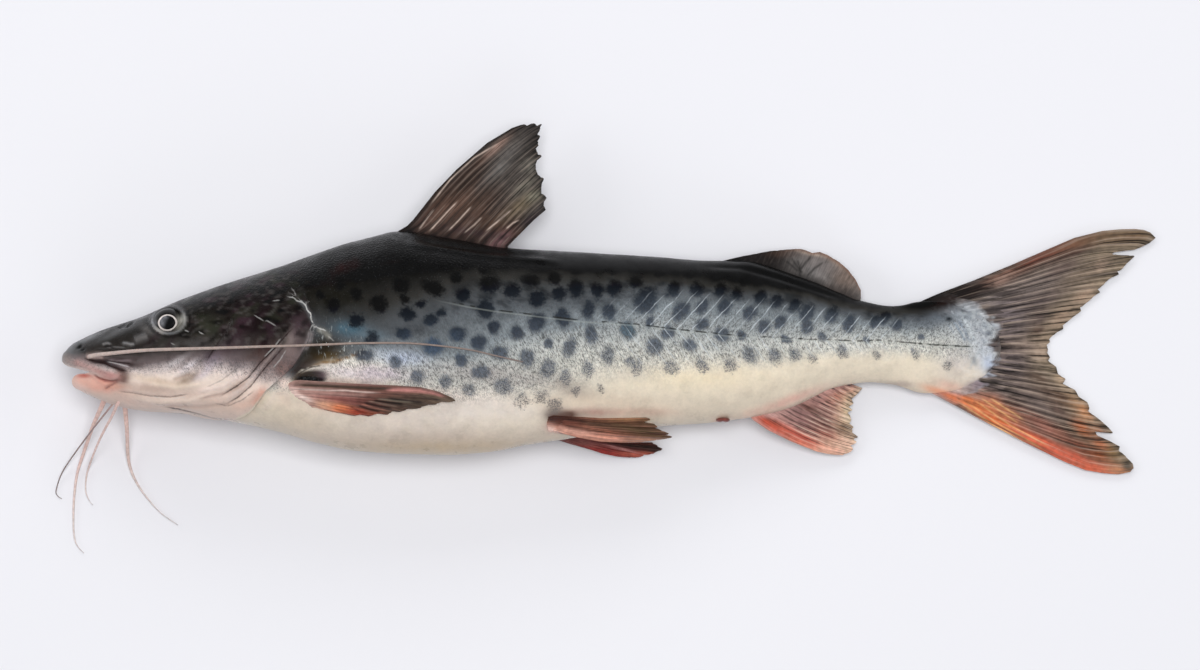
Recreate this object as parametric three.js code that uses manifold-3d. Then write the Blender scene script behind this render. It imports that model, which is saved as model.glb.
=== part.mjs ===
// A whole raw spotted catfish, lying on its right side with its left side up. Its head is towards -X and its
// back towards +Y. The fish is one piece, so body, fins, eyes and barbels are joined into one solid.
// Millimetres, +Z up. The origin is on the table, at the middle of the fish's length and width.
//
// Places are given as [aft, up]: aft of the snout's tip, and up from the body's axis towards the back.
import * as THREE from "three";
import { mergeVertices } from "three/addons/utils/BufferGeometryUtils.js";
import Module from "manifold-3d";

// Driving dimensions
const SNOUT_X = -299; // the snout's tip along X, with the tail's tip 605 mm behind it
const FLESH_LENGTH = 519; // snout to the end of the flesh, where the tail fin's rays start
const GILL_LIFT = 1.4; // how far the gill cover stands over the shoulder
const EYE_BALL = 9; // eyeball radius
const EYE_RIM = 8.8; // radius of the skin's rim round the eye
const EYE = { aft: 60.4, up: 9.4 };
const BODY_RINGS = 58;
const BODY_SIDES = 32;
const FLOAT = 0.3; // fins and barbels that lie on the table stay this much above it

// Outlines of the fish seen from its side, from the photograph's proportions
const BACK = [
  [0, -12], [1, -10.4], [3, -6.8], [6, -3.9], [10, -1.5], [21, 4], [43, 11.5], [65, 21], [87, 29],
  [120, 39.5], [153, 51], [170, 55.5], [186, 59], [208, 56], [246, 50], [285, 47.5], [329, 44.8],
  [350, 43.2], [373, 42.5], [407, 33], [440, 21], [459, 18], [477, 20], [502, 19], [519, 16],
];
const BELLY = [
  [0, -12], [1, -17], [3, -23], [6, -26.6], [10, -28.6], [16, -31.6], [21, -33.8], [32, -37.5], [48, -40.2],
  [65, -41.2], [81, -43.5], [98, -46.5], [120, -51.5], [142, -57.8], [164, -62], [186, -63.5], [213, -64],
  [235, -62.5], [257, -58.5], [279, -55], [307, -50.5], [334, -48], [351, -47], [373, -44.5],
  [401, -37.5], [427, -26.7], [445, -24.2], [459, -25.7], [477, -30], [502, -28], [519, -25],
];
const HALF_WIDTH = [
  [0, 0], [1, 7], [3, 11], [6, 14.5], [10, 17], [21, 22.5], [43, 30], [76, 36], [98, 39.5], [120, 41.5],
  [142, 42], [197, 41], [230, 39], [263, 36], [296, 32.5], [329, 28.5], [362, 24.5], [395, 19.5],
  [428, 15], [450, 12], [472, 9.5], [490, 7.5], [505, 5], [519, 3],
];
// Height of the fish's middle plane over the table. The belly's flank sinks in a little, because it carries
// the weight, and the tail's root just clears the table.
const MIDDLE = [
  [0, 37], [60, 38.3], [120, 38.7], [190, 38.2], [240, 36.2], [280, 33.4], [300, 32], [320, 30.3],
  [350, 26.8], [400, 19.7], [440, 14.1], [477, 9.6], [502, 6.5], [519, 5],
];
// Level of the widest part of the flank, and how boxy the section is (2 is an ellipse)
const GIRTH = [[0, -12], [30, -12], [80, -9], [140, -5], [220, -4], [340, -3], [440, -3], [519, -5]];
const BOXY = [[0, 2], [20, 2.4], [70, 2.5], [140, 2.2], [240, 2.05], [400, 1.9], [519, 1.8]];

// A smooth curve through [at, value] pairs that never overshoots them, as a function of at.
// It runs in the square root of at, which rounds the snout off bluntly.
function curve(points) {
  const at = points.map((p) => Math.sqrt(p[0]));
  const value = points.map((p) => p[1]);
  const rise = at.slice(1).map((a, i) => (value[i + 1] - value[i]) / (a - at[i]));
  const slope = at.map((_, i) => {
    const before = rise[i - 1] ?? rise[0];
    const after = rise[i] ?? rise[rise.length - 1];
    return before * after <= 0 ? 0 : (2 * before * after) / (before + after);
  });
  return (x) => {
    const s = Math.sqrt(Math.min(Math.max(x, 0), points[points.length - 1][0]));
    let i = 0;
    while (i < at.length - 2 && s > at[i + 1]) i++;
    const step = at[i + 1] - at[i];
    const t = (s - at[i]) / step;
    const [t2, t3] = [t * t, t * t * t];
    return (
      value[i] * (2 * t3 - 3 * t2 + 1) +
      value[i + 1] * (3 * t2 - 2 * t3) +
      slope[i] * step * (t3 - 2 * t2 + t) +
      slope[i + 1] * step * (t3 - t2)
    );
  };
}

const back = curve(BACK);
const belly = curve(BELLY);
const halfWidth = curve(HALF_WIDTH);
const middle = curve(MIDDLE);
const girth = curve(GIRTH);
const boxy = curve(BOXY);
const xOf = (aft) => SNOUT_X + aft;
const mix = (a, b, t) => a + (b - a) * t;

// The flesh ends in a rounded fan where the tail fin starts, which closes the section over its last stretch.
const FAN_START = 488;
function closing(aft) {
  const t = Math.max(0, (aft - FAN_START) / (FLESH_LENGTH - FAN_START));
  return Math.sqrt(Math.max(0, 1 - t * t));
}

// A point of the skin: turn 0 is the back's ridge, a quarter turn the upper flank, half the belly's keel.
function skin(aft, turn, lift = 0) {
  const angle = turn * 2 * Math.PI;
  const power = 2 / boxy(aft);
  const along = Math.sign(Math.cos(angle)) * Math.abs(Math.cos(angle)) ** power;
  const across = Math.sign(Math.sin(angle)) * Math.abs(Math.sin(angle)) ** power;
  const level = girth(aft);
  const reach = (along > 0 ? back(aft) - level : level - belly(aft)) * closing(aft);
  const y = level + along * (reach + lift);
  const z = middle(aft) + across * (halfWidth(aft) * closing(aft) ** 0.4 + lift);
  return new THREE.Vector3(xOf(aft), y, Math.max(z, 0));
}

// Height of the skin over a place [aft, up]: side +1 is the upper flank, -1 the lower one.
function skinHeight(aft, up, side = 1) {
  const level = girth(aft);
  const reach = up > level ? back(aft) - level : level - belly(aft);
  const share = Math.min(1, Math.abs(up - level) / reach);
  const n = boxy(aft);
  return middle(aft) + side * halfWidth(aft) * (1 - share ** n) ** (1 / n);
}

// Solids: three.js shapes the pieces, and manifold-3d joins and cuts them.
const wasm = await Module();
wasm.setup();

function solid(geometry) {
  const bare = geometry.clone();
  bare.deleteAttribute("normal");
  bare.deleteAttribute("uv");
  const merged = mergeVertices(bare, 1e-4);
  return new wasm.Manifold(
    new wasm.Mesh({
      numProp: 3,
      vertProperties: new Float32Array(merged.attributes.position.array),
      triVerts: new Uint32Array(merged.index.array),
    }),
  );
}

function geometryOf(points, triangles) {
  const geometry = new THREE.BufferGeometry().setFromPoints(points);
  geometry.setIndex(triangles);
  return geometry;
}

// Rings of points joined into a closed skin, with a fan at each end.
function loft(rings) {
  const sides = rings[0].length;
  const points = rings.flat();
  const triangles = [];
  for (let r = 0; r < rings.length - 1; r++)
    for (let s = 0; s < sides; s++) {
      const [a, b] = [r * sides + s, r * sides + ((s + 1) % sides)];
      triangles.push(a, b, a + sides, b, b + sides, a + sides);
    }
  for (const [ring, flip] of [[0, true], [rings.length - 1, false]]) {
    const centre = new THREE.Vector3();
    rings[ring].forEach((p) => centre.addScaledVector(p, 1 / sides));
    points.push(centre);
    for (let s = 0; s < sides; s++) {
      const [a, b] = [ring * sides + s, ring * sides + ((s + 1) % sides)];
      triangles.push(...(flip ? [b, a, points.length - 1] : [a, b, points.length - 1]));
    }
  }
  return geometryOf(points, triangles);
}

// A thin plate over a grid: place(u, v) is its middle surface and thick(u, v) its thickness.
function plate(across, along, place, thick) {
  const points = [];
  for (const side of [1, -1])
    for (let i = 0; i <= across; i++)
      for (let j = 0; j <= along; j++) {
        const [u, v] = [i / across, j / along];
        const half = thick(u, v) / 2;
        const p = place(u, v);
        p.z = Math.max(p.z, half + FLOAT) + side * half;
        points.push(p);
      }
  const row = along + 1;
  const under = (across + 1) * row;
  const triangles = [];
  for (let i = 0; i < across; i++)
    for (let j = 0; j < along; j++) {
      const [a, b, c, d] = [i * row + j, (i + 1) * row + j, (i + 1) * row + j + 1, i * row + j + 1];
      triangles.push(a, b, d, b, c, d);
      triangles.push(under + a, under + d, under + b, under + b, under + d, under + c);
    }
  const wall = (a, b) => triangles.push(a, a + under, b, b, a + under, b + under);
  for (let i = 0; i < across; i++) {
    wall(i * row, (i + 1) * row);
    wall((i + 1) * row + along, i * row + along);
  }
  for (let j = 0; j < along; j++) {
    wall(j + 1, j);
    wall(across * row + j, across * row + j + 1);
  }
  return geometryOf(points, triangles);
}

// Plates and tubes are wound by their outline, so one that comes out inside out is turned round.
function outward(geometry) {
  const made = solid(geometry);
  if (made.volume() > 0) return made;
  const index = geometry.index.array;
  for (let i = 0; i < index.length; i += 3) [index[i + 1], index[i + 2]] = [index[i + 2], index[i + 1]];
  return solid(geometry);
}

// A prism through the whole fish over an outline of [aft, up] points.
function prism(outline) {
  const shape = new THREE.Shape(outline.map(([aft, up]) => new THREE.Vector2(xOf(aft), up)));
  const geometry = new THREE.ExtrudeGeometry(shape, { depth: 140, bevelEnabled: false });
  return outward(geometry.translate(0, 0, -30));
}

// Rings of the skin at count + 1 places along the fish
function skinRings(count, place, lift = () => 0) {
  return Array.from({ length: count + 1 }, (_, r) => {
    const aft = place(r / count);
    return Array.from({ length: BODY_SIDES }, (_, s) => skin(aft, s / BODY_SIDES, lift(aft)));
  });
}

// Body: rings closer together at the head
function body() {
  const place = (t) => FLESH_LENGTH * (0.0006 + 0.9984 * (0.25 * t * t + 0.75 * t ** 1.25));
  return outward(loft(skinRings(BODY_RINGS, place)));
}

// Gill cover: the head's skin stands over the shoulder up to this edge, which also bounds the throat's skin.
const GILL_EDGE = [
  [122, 24], [129, 21], [135, 17], [138.5, 11], [139, 4], [137, -4], [132, -10], [126, -16], [123, -20],
  [117, -23], [113, -28], [110, -34], [105, -40], [99, -44], [90, -54],
];
function gillCover() {
  const lift = (aft) => mix(-1.5, GILL_LIFT, Math.min(1, (aft - 50) / 45));
  const sheath = skinRings(18, (t) => mix(50, 142, t), lift);
  return outward(loft(sheath)).intersect(prism([[0, 62], [100, 62], [108, 30], ...GILL_EDGE, [0, -70]]));
}

// Mouth: open a few millimetres in front, and shut from the lip's corner back
const MOUTH_GAP = [
  [-6, -13], [1, -13.4], [3.3, -15.1], [8.2, -16.8], [11.5, -17.4], [17, -19.1], [14, -19.6], [10, -19.8],
  [7.4, -20.4], [5.6, -21.6], [4.6, -23.4], [5, -26], [-6, -28],
];

// Eye: a ball in the skin with a rim round it, on both flanks
function eyes() {
  const parts = [];
  for (const side of [1, -1]) {
    const height = skinHeight(EYE.aft, EYE.up, side);
    const lean = new THREE.Euler(side * -0.42, side * -0.16, 0);
    const ball = new THREE.SphereGeometry(EYE_BALL, 16, 10);
    ball.translate(xOf(EYE.aft), EYE.up, height - side * (EYE_BALL - 1.6));
    const rim = new THREE.TorusGeometry(EYE_RIM, 1.4, 6, 18).scale(1.08, 0.9, 1);
    rim.applyMatrix4(new THREE.Matrix4().makeRotationFromEuler(lean));
    rim.translate(xOf(EYE.aft), EYE.up, height - side * 1.1);
    parts.push(outward(ball), outward(rim));
  }
  return parts;
}

// A fin fans out from points along its base to points along its edge. Rays are ridges, and the free edge is
// ragged between them. Its first and last rays can bow out of line by bow, and sag(u, v, at) is the height of
// its middle surface over the table.
function fin({ base, edge, rays, along, thick, ragged = 0, rough = 0.3, sag, bow = [0, 0] }) {
  const rim = (points) => new THREE.SplineCurve(points.map(([a, b]) => new THREE.Vector2(xOf(a), b)));
  const [root, free] = [rim(base), rim(edge)];
  const ridge = (u) => Math.cos(2 * Math.PI * rays * u);
  const place = (u, v) => {
    const [from, to] = [root.getPoint(u), free.getPoint(u)];
    const reach = v * (1 - ragged * 0.5 * (1 - ridge(u)) * (1 + 0.5 * Math.sin(23 * u)));
    const at = from.clone().lerp(to, reach);
    at.y += Math.sin(Math.PI * v * v) * (bow[0] * (1 - u) ** 4 + bow[1] * u ** 4);
    return new THREE.Vector3(at.x, at.y, sag(u, v, at));
  };
  const depth = (u, v) => mix(thick[0], thick[1], v) * (1 + rough * ridge(u));
  return outward(plate(rays * 2, along, place, depth));
}

const DORSAL = {
  base: [[177, 48], [203, 50], [224, 47.5], [240, 45]],
  edge: [
    [247, 115.5], [254, 118.5], [259.5, 119], [264.3, 118.2], [263.5, 110], [264, 101.5], [263.5, 94],
    [265, 87.5], [266.5, 77.5], [265.6, 70.5],
  ],
  rays: 9, along: 5, thick: [4, 1.3], ragged: 0.05, bow: [6, 0],
  sag: (u, v) => 38 - 9 * v * v - 2 * v * Math.sin(5 * u),
};

const ADIPOSE = {
  base: [[364, 37], [390, 30], [418, 20], [438, 15]],
  edge: [[374, 45.5], [391, 48.5], [406, 50], [418, 48.4], [429, 42.5], [437.5, 33.5], [440.5, 23]],
  rays: 6, along: 4, thick: [5.5, 1.6], rough: 0,
  sag: (u, v, at) => middle(at.x - SNOUT_X) + 0.5 - 1.5 * v,
};

const ANAL = {
  base: [[377, -40], [397, -33], [414, -25], [428, -19.5]],
  edge: [[418, -63.2], [431, -65], [439, -61], [440.5, -55], [437, -47], [438.5, -38], [442.5, -27.5]],
  rays: 9, along: 5, thick: [3.4, 1.2], ragged: 0.04, bow: [-2, 0],
  sag: (u, v, at) => mix(middle(at.x - SNOUT_X), 5, v ** 1.4),
};

const TAIL = {
  base: [
    [459, 15], [475, 16], [492, 14], [504, 7], [508, -4], [505, -14], [494, -22], [477, -25], [459, -22],
  ],
  edge: [
    [605, 56.5], [592, 44], [574, 28], [559, 12], [544.5, -3], [545.5, -13], [559, -27], [573.5, -42],
    [588, -60], [592.5, -75],
  ],
  rays: 14, along: 8, thick: [4.4, 1.3], ragged: 0.05, bow: [12.3, -10.5],
  sag: (u, v) => 5.2 - 3.4 * v + 0.9 * v * Math.sin(9 * u),
};

const PECTORAL = {
  base: [[124, -25.5], [126, -28.5], [130, -32], [138, -35.5]],
  edge: [[217, -34], [204, -37], [182, -41.8], [154, -39.5]],
  rays: 6, along: 5, thick: [4, 1.5], ragged: 0.05, bow: [5, 0],
};

const PELVIC = {
  base: [[263, -43], [264, -46], [267, -49.5]],
  edge: [[325, -44], [338, -54], [311, -57.8]],
  rays: 6, along: 5, thick: [3.6, 1.4], ragged: 0.05,
};

const LOWER_PELVIC = {
  ...PELVIC,
  base: [[267, -46], [269, -50], [272, -54]],
  edge: [[318, -54], [331.5, -62], [307, -66.4]],
  bow: [0, -2],
};

function pairedFins() {
  const lift = (v) => mix(-0.6, 2.6, v);
  const upper = (u, v, at) => skinHeight(at.x - SNOUT_X, at.y, 1) + lift(v);
  const lower = (u, v, at) => skinHeight(at.x - SNOUT_X, at.y, -1) - lift(v);
  return [
    fin({ ...PECTORAL, sag: upper }),
    fin({ ...PECTORAL, sag: lower }),
    fin({ ...PELVIC, sag: (u, v) => 54 - 21 * v ** 0.8 }),
    fin({ ...LOWER_PELVIC, sag: (u, v) => 17 - 14 * v ** 0.7 }),
  ];
}

// Barbels: tapered whiskers through [aft, up, height] points. One at each corner of the upper lip, and four
// under the chin that hang down to the table and lie on it.
const BARBELS = [
  {
    root: 1.7, tip: 0.5,
    along: [
      [15, -10, 57], [29, -8.2, 67], [51, -6.2, 74], [79, -5.4, 79], [106, -4.6, 82], [133, -3.8, 82.3],
      [163.6, -2.6, 81], [195, -2.6, 79], [211, -4, 78], [226, -5.9, 76.3], [238, -8.9, 75],
      [254, -12.7, 74],
    ],
  },
  {
    root: 1.7, tip: 0.5,
    along: [
      [15, -10, 19], [27, -11, 11], [48, -15, 3.5], [76, -22, 1.6], [103, -31, 1.4], [125, -39, 1.3],
      [147, -47, 1.2], [175, -53, 1.1], [202, -56.5, 0.9],
    ],
  },
  {
    root: 1.3, tip: 0.45,
    along: [
      [32, -32.5, 46], [28.4, -37.6, 42], [18.5, -47.7, 30], [5, -63, 10], [-3.6, -74.3, 2],
      [-6.6, -84, 0.9], [-6.5, -88.3, 0.8], [-4.2, -89.9, 0.8],
    ],
  },
  {
    root: 1.7, tip: 0.4,
    along: [
      [25, -31, 34], [23, -37.8, 31], [17.4, -47.9, 18], [12.2, -62, 4], [6.4, -73.2, 1.3], [4.1, -87.2, 1],
      [3, -101, 0.9], [3.6, -109.4, 0.8], [5.3, -115, 0.8], [8.6, -119.3, 0.8],
    ],
  },
  {
    root: 1.5, tip: 0.4,
    along: [
      [36, -29.8, 54.5], [32.6, -34.8, 52.5], [28.5, -42, 43], [19.4, -56, 22], [12, -70.4, 3],
      [10.2, -77.7, 1], [9.7, -84.4, 0.9], [11.4, -89.4, 0.8], [13.6, -92.7, 0.8],
    ],
  },
  {
    root: 1.6, tip: 0.5,
    along: [
      [33.5, -31, 30], [34.2, -37.8, 26], [34.5, -50.7, 17], [34.5, -64.8, 4.5], [35.9, -73.2, 1.5],
      [39.8, -81.6, 1.1], [45.3, -90, 0.9], [52.6, -97.7, 0.8], [60.9, -104, 0.8],
    ],
  },
];

function barbel({ root, tip, along }) {
  const places = along.map(([aft, up, height]) => new THREE.Vector3(xOf(aft), up, height + FLOAT));
  const path = new THREE.CatmullRomCurve3(places);
  const steps = 2 * along.length - 2;
  const frames = path.computeFrenetFrames(steps);
  const rings = [];
  for (let i = 0; i <= steps; i++) {
    const centre = path.getPointAt(i / steps);
    const radius = mix(root, tip, (i / steps) ** 0.7);
    const ring = [];
    for (let s = 0; s < 6; s++) {
      const angle = (s / 6) * 2 * Math.PI;
      ring.push(
        centre
          .clone()
          .addScaledVector(frames.normals[i], radius * Math.cos(angle))
          .addScaledVector(frames.binormals[i], radius * Math.sin(angle)),
      );
    }
    rings.push(ring.map((p) => p.setZ(Math.max(p.z, FLOAT))));
  }
  return outward(loft(rings));
}

// The vent is a small fleshy knob in front of the anal fin.
function vent() {
  const knob = new THREE.SphereGeometry(1, 12, 8).scale(5, 3, 4);
  return outward(knob.translate(xOf(363), -44.5, middle(363)));
}

// The whole fish
const pieces = [
  body(),
  gillCover(),
  ...eyes(),
  fin(DORSAL),
  fin(ADIPOSE),
  fin(ANAL),
  fin(TAIL),
  ...pairedFins(),
  ...BARBELS.map(barbel),
  vent(),
];
const whole = pieces.reduce((a, b) => a.add(b)).subtract(prism(MOUTH_GAP));

const mesh = whole.getMesh();
const skinned = new THREE.BufferGeometry();
skinned.setAttribute("position", new THREE.BufferAttribute(mesh.vertProperties, 3));
skinned.setIndex(new THREE.BufferAttribute(mesh.triVerts, 1));
skinned.computeVertexNormals();

const flesh = new THREE.MeshStandardMaterial({ color: 0x6f7275, roughness: 0.35, metalness: 0 });
const catfish = new THREE.Mesh(skinned, flesh);
catfish.name = "catfish";

const group = new THREE.Group();
group.add(catfish);
export default group;
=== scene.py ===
# A whole raw spotted catfish on a pale table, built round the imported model.
# It lies on its right side, with its head towards -X and its back towards +Y.
import math

import bpy
import numpy as np
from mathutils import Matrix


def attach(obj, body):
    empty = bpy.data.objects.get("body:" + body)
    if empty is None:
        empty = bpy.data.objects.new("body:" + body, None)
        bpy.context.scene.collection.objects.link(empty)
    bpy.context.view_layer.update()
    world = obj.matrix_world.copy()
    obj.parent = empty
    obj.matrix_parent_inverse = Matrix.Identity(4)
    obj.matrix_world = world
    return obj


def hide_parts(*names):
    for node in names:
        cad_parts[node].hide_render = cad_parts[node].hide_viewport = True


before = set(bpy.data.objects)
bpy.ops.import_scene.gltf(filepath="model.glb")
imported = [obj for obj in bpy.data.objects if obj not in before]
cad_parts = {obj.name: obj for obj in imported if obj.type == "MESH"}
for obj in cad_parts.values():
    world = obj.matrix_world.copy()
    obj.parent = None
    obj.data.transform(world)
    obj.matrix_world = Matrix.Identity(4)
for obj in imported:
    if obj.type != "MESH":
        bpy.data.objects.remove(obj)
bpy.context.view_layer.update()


# --- Camera ---
# The lens looks straight down from 3 m over the fish's middle plane, on a picture 1200 by 670 pixels. Places on
# the fish are given in those pixels, heights and thicknesses in millimetres.
MM_STEP = 0.55  # millimetres to a pixel at the middle plane
CENTRE = (600, 335)  # the picture's middle, in pixels
AIM = (-3.0, 1.9)  # what lies there, in millimetres
MID_PLANE = 38.0
LENS_HEIGHT = 3000.0
SENSOR = 36

bpy.ops.object.camera_add(location=(AIM[0] / 1000, AIM[1] / 1000, (MID_PLANE + LENS_HEIGHT) / 1000))
camera = bpy.context.object
camera.data.sensor_width = SENSOR
camera.data.lens = SENSOR * LENS_HEIGHT / (2 * CENTRE[0] * MM_STEP)
camera.data.clip_end = 20
bpy.context.scene.camera = camera


def place(px, py, height):
    """Where a pixel's line of sight is at a height over the table, in millimetres."""
    step = MM_STEP * (1 + (MID_PLANE - height) / LENS_HEIGHT)
    return (px - CENTRE[0]) * step + AIM[0], (CENTRE[1] - py) * step + AIM[1]


def seen_at(x, y, height):
    """The pixel in which a place is seen."""
    step = MM_STEP * (1 + (MID_PLANE - height) / LENS_HEIGHT)
    return np.array([CENTRE[0] + (x - AIM[0]) / step, CENTRE[1] - (y - AIM[1]) / step])


# --- Table and light ---
# A plain table covered in smooth pale paper, wide enough to fill every view.
# Soft lights hang overhead, beside the back and the belly and beyond both ends of the fish, in a dim room.
def linear(code):
    """An sRGB hex colour as linear red, green and blue."""
    part = np.array([int(code[i : i + 2], 16) for i in (1, 3, 5)]) / 255
    return np.where(part <= 0.04045, part / 12.92, ((part + 0.055) / 1.055) ** 2.4)


def shade(code):
    """A hex colour for a shader's socket."""
    return (*linear(code), 1.0)


def add(tree, kind, sockets={}, **settings):
    """Adds a shader node, with its settings and what goes into its sockets: a value, a node or a socket."""
    made = tree.nodes.new("ShaderNode" + kind)
    for name, value in settings.items():
        setattr(made, name, value)
    for name, value in sockets.items():
        if isinstance(value, bpy.types.Node):
            value = next(o for o in value.outputs if o.enabled)
        if isinstance(value, bpy.types.NodeSocket):
            tree.links.new(value, made.inputs[name])
        else:
            made.inputs[name].default_value = value
    return made


def new_material(name):
    material = bpy.data.materials.new(name)
    material.use_nodes = True
    material.node_tree.nodes.clear()
    return material, material.node_tree


bpy.ops.object.select_all(action="DESELECT")
bpy.ops.mesh.primitive_plane_add(size=9, location=(0, 0, -0.0002))
table = bpy.context.object
table.name = "table"
bpy.ops.object.mode_set(mode="EDIT")
bpy.ops.mesh.subdivide(number_cuts=8)
bpy.ops.object.mode_set(mode="OBJECT")

paper, tree = new_material("matt_paper")
space = add(tree, "TexCoord").outputs["Object"]
cloud = add(tree, "TexNoise", {"Vector": space, "Scale": 1.4, "Detail": 2})
tone = add(tree, "Mix", {0: cloud, 6: shade("#e7e7ec"), 7: shade("#eaeaee")}, data_type="RGBA")
grain = add(tree, "TexNoise", {"Vector": space, "Scale": 900, "Detail": 2})
bump = add(tree, "Bump", {"Height": grain, "Strength": 0.03, "Distance": 0.0002})
shader = add(tree, "BsdfPrincipled", {"Base Color": tone, "Roughness": 0.75, "Normal": bump})
add(tree, "OutputMaterial", {"Surface": shader})
table.data.materials.append(paper)

for name, where, size, power, colour in (
    ("overhead_light", (0.1, 0.3, 3.6), (1.6, 1.4), 88, "#ffffff"),
    ("back_light", (-0.5, 3.2, 2.3), (3.6, 1.6), 42, "#ffffff"),
    ("belly_light", (0.4, -3.4, 2.2), (3.2, 1.6), 14, "#f6f8ff"),
    ("head_light", (-3.4, 0.4, 2.2), (2.0, 1.6), 22, "#ffffff"),
    ("tail_light", (3.6, 0.3, 2.2), (2.0, 1.6), 15, "#ffffff"),
):
    bpy.ops.object.light_add(type="AREA", location=where)
    lamp = bpy.context.object
    lamp.name = name
    lamp.data.shape = "RECTANGLE"
    lamp.data.size, lamp.data.size_y = size
    lamp.data.energy = power
    lamp.data.color = linear(colour)
    lamp.visible_glossy = name in ("head_light", "tail_light")  # so the wet dark back doesn't glare
    flat = math.hypot(where[0], where[1])
    lamp.rotation_euler = (math.atan2(flat, where[2]), 0, math.atan2(where[1], where[0]) + math.pi / 2)

world = bpy.data.worlds.new("studio_air")
world.use_nodes = True
world.node_tree.nodes["Background"].inputs["Color"].default_value = shade("#f6f7fb")
world.node_tree.nodes["Background"].inputs["Strength"].default_value = 0.22
bpy.context.scene.world = world
bpy.context.scene.view_settings.view_transform = "Standard"


# --- Skin ---
# The fish's wet, scaleless skin over its head and body, from the snout to the flesh at the tail fin's root.
# One closed skin: rings run round the fish, close together on the head, and the gill cover's rear edge is a
# fold that stands over the shoulder. The back is near black, the flank slate and silver, and the belly cream.
SNOUT_X = -299
FLESH_LENGTH = 519
FAN_START = 488  # where the flesh starts to close inside the tail fin
# By millimetres aft of the snout: the back's and the belly's place up the picture, half the thickness, the
# height of its middle over the table, the level where it's thickest, and how boxy it is, 2 being an ellipse
BACK = [
    (0, -11.5), (0.4, -9.2), (1.2, -7.8), (2.4, -6.6), (4.5, -4.3), (6.5, -2.7), (10, -0.9), (21, 4.1), (43, 11.5),
    (65, 21), (87, 29), (120, 39.5), (153, 51), (170, 55.5), (186, 59), (208, 56), (246, 50), (285, 47.5),
    (329, 44.8), (350, 43.2), (373, 42.5), (407, 33), (440, 21), (459, 18), (477, 20), (502, 19), (519, 16),
]
BELLY = [
    (0, -11.5), (1, -17), (3, -23), (6, -26.6), (10, -28.6), (16, -31.6), (21, -33.8), (32, -37.5), (48, -40.2),
    (65, -41.2), (81, -43.5), (98, -46.5), (120, -51.5), (142, -57.8), (164, -62), (186, -63.5), (213, -64),
    (235, -62.5), (257, -58.5), (279, -55), (307, -50.5), (334, -48), (351, -47), (373, -44.5), (401, -37.5),
    (427, -26.7), (445, -24.2), (459, -25.7), (477, -30), (502, -28), (519, -25),
]
HALF_WIDTH = [
    (0, 0), (1, 7), (3, 11), (6, 14.5), (10, 17), (21, 22.5), (43, 30), (76, 36), (98, 39.5), (120, 41.5), (142, 42),
    (197, 41), (230, 39), (263, 36), (296, 32.5), (329, 28.5), (362, 24.5), (395, 19.5), (428, 15), (450, 12),
    (465, 9.8), (480, 7.4), (495, 5), (508, 3), (519, 1.8),
]
MIDDLE = [
    (0, 37), (60, 38.3), (120, 38.7), (190, 38.2), (240, 36.2), (280, 33.4), (300, 32), (320, 30.3), (350, 26.8),
    (400, 19.7), (440, 14.1), (477, 9.6), (502, 6.5), (519, 5),
]
GIRTH = [(0, -11.5), (30, -12), (80, -9), (140, -5), (220, -4), (340, -3), (440, -3), (519, -5)]
BOXY = [(0, 2), (20, 2.4), (70, 2.5), (140, 2.2), (240, 2.05), (400, 1.9), (445, 1.7), (480, 1.3), (519, 1.2)]


def outline(points):
    """A smooth curve through the points that never overshoots them, in the square root of the distance aft."""
    at = np.sqrt([p[0] for p in points])
    value = np.array([p[1] for p in points], float)
    step = np.diff(at)
    rise = np.diff(value) / step
    before, after = np.r_[rise[0], rise], np.r_[rise, rise[-1]]
    both = before + after
    slope = np.where(before * after <= 0, 0, 2 * before * after / np.where(both == 0, 1, both))

    def value_at(aft):
        s = np.sqrt(np.clip(aft, 0, points[-1][0]))
        i = np.clip(np.searchsorted(at, s, side="right") - 1, 0, len(at) - 2)
        t = (s - at[i]) / step[i]
        return (
            value[i] * (2 * t**3 - 3 * t**2 + 1)
            + value[i + 1] * (3 * t**2 - 2 * t**3)
            + slope[i] * step[i] * (t**3 - 2 * t**2 + t)
            + slope[i + 1] * step[i] * (t**3 - t**2)
        )

    return value_at


back, belly, half_width = outline(BACK), outline(BELLY), outline(HALF_WIDTH)
middle, girth, boxy = outline(MIDDLE), outline(GIRTH), outline(BOXY)


def ease(x, start, end):
    """0 before start, 1 after end, and a smooth step between them. It also runs backwards."""
    t = np.clip((x - start) / (end - start), 0, 1)
    return t * t * (3 - 2 * t)


def skin_point(aft, turn):
    """A place on the bare skin: turn 0 is the back's ridge, a quarter the upper flank, a half the keel."""
    t = np.clip((aft - FAN_START) / (FLESH_LENGTH - FAN_START), 0, 1)
    closing = np.sqrt(1 - t * t)
    power = 2 / boxy(aft)
    up, out = np.cos(turn * 2 * np.pi), np.sin(turn * 2 * np.pi)
    up = np.sign(up) * np.abs(up) ** power
    out = np.sign(out) * np.abs(out) ** power
    level = girth(aft)
    y = level + up * np.where(up > 0, back(aft) - level, level - belly(aft)) * closing
    z = middle(aft) + out * half_width(aft) * closing**1.3
    return np.stack([SNOUT_X + aft, y, z])


def skin_height(x, y, side=1):
    """Height of the skin over a place, on the upper flank or (side -1) the lower one."""
    aft = x - SNOUT_X
    level = girth(aft)
    reach = np.where(y > level, back(aft) - level, level - belly(aft))
    share = np.clip(np.abs(y - level) / reach, 0, 1)
    n = boxy(aft)
    return middle(aft) + side * half_width(aft) * (1 - share**n) ** (1 / n)


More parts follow.
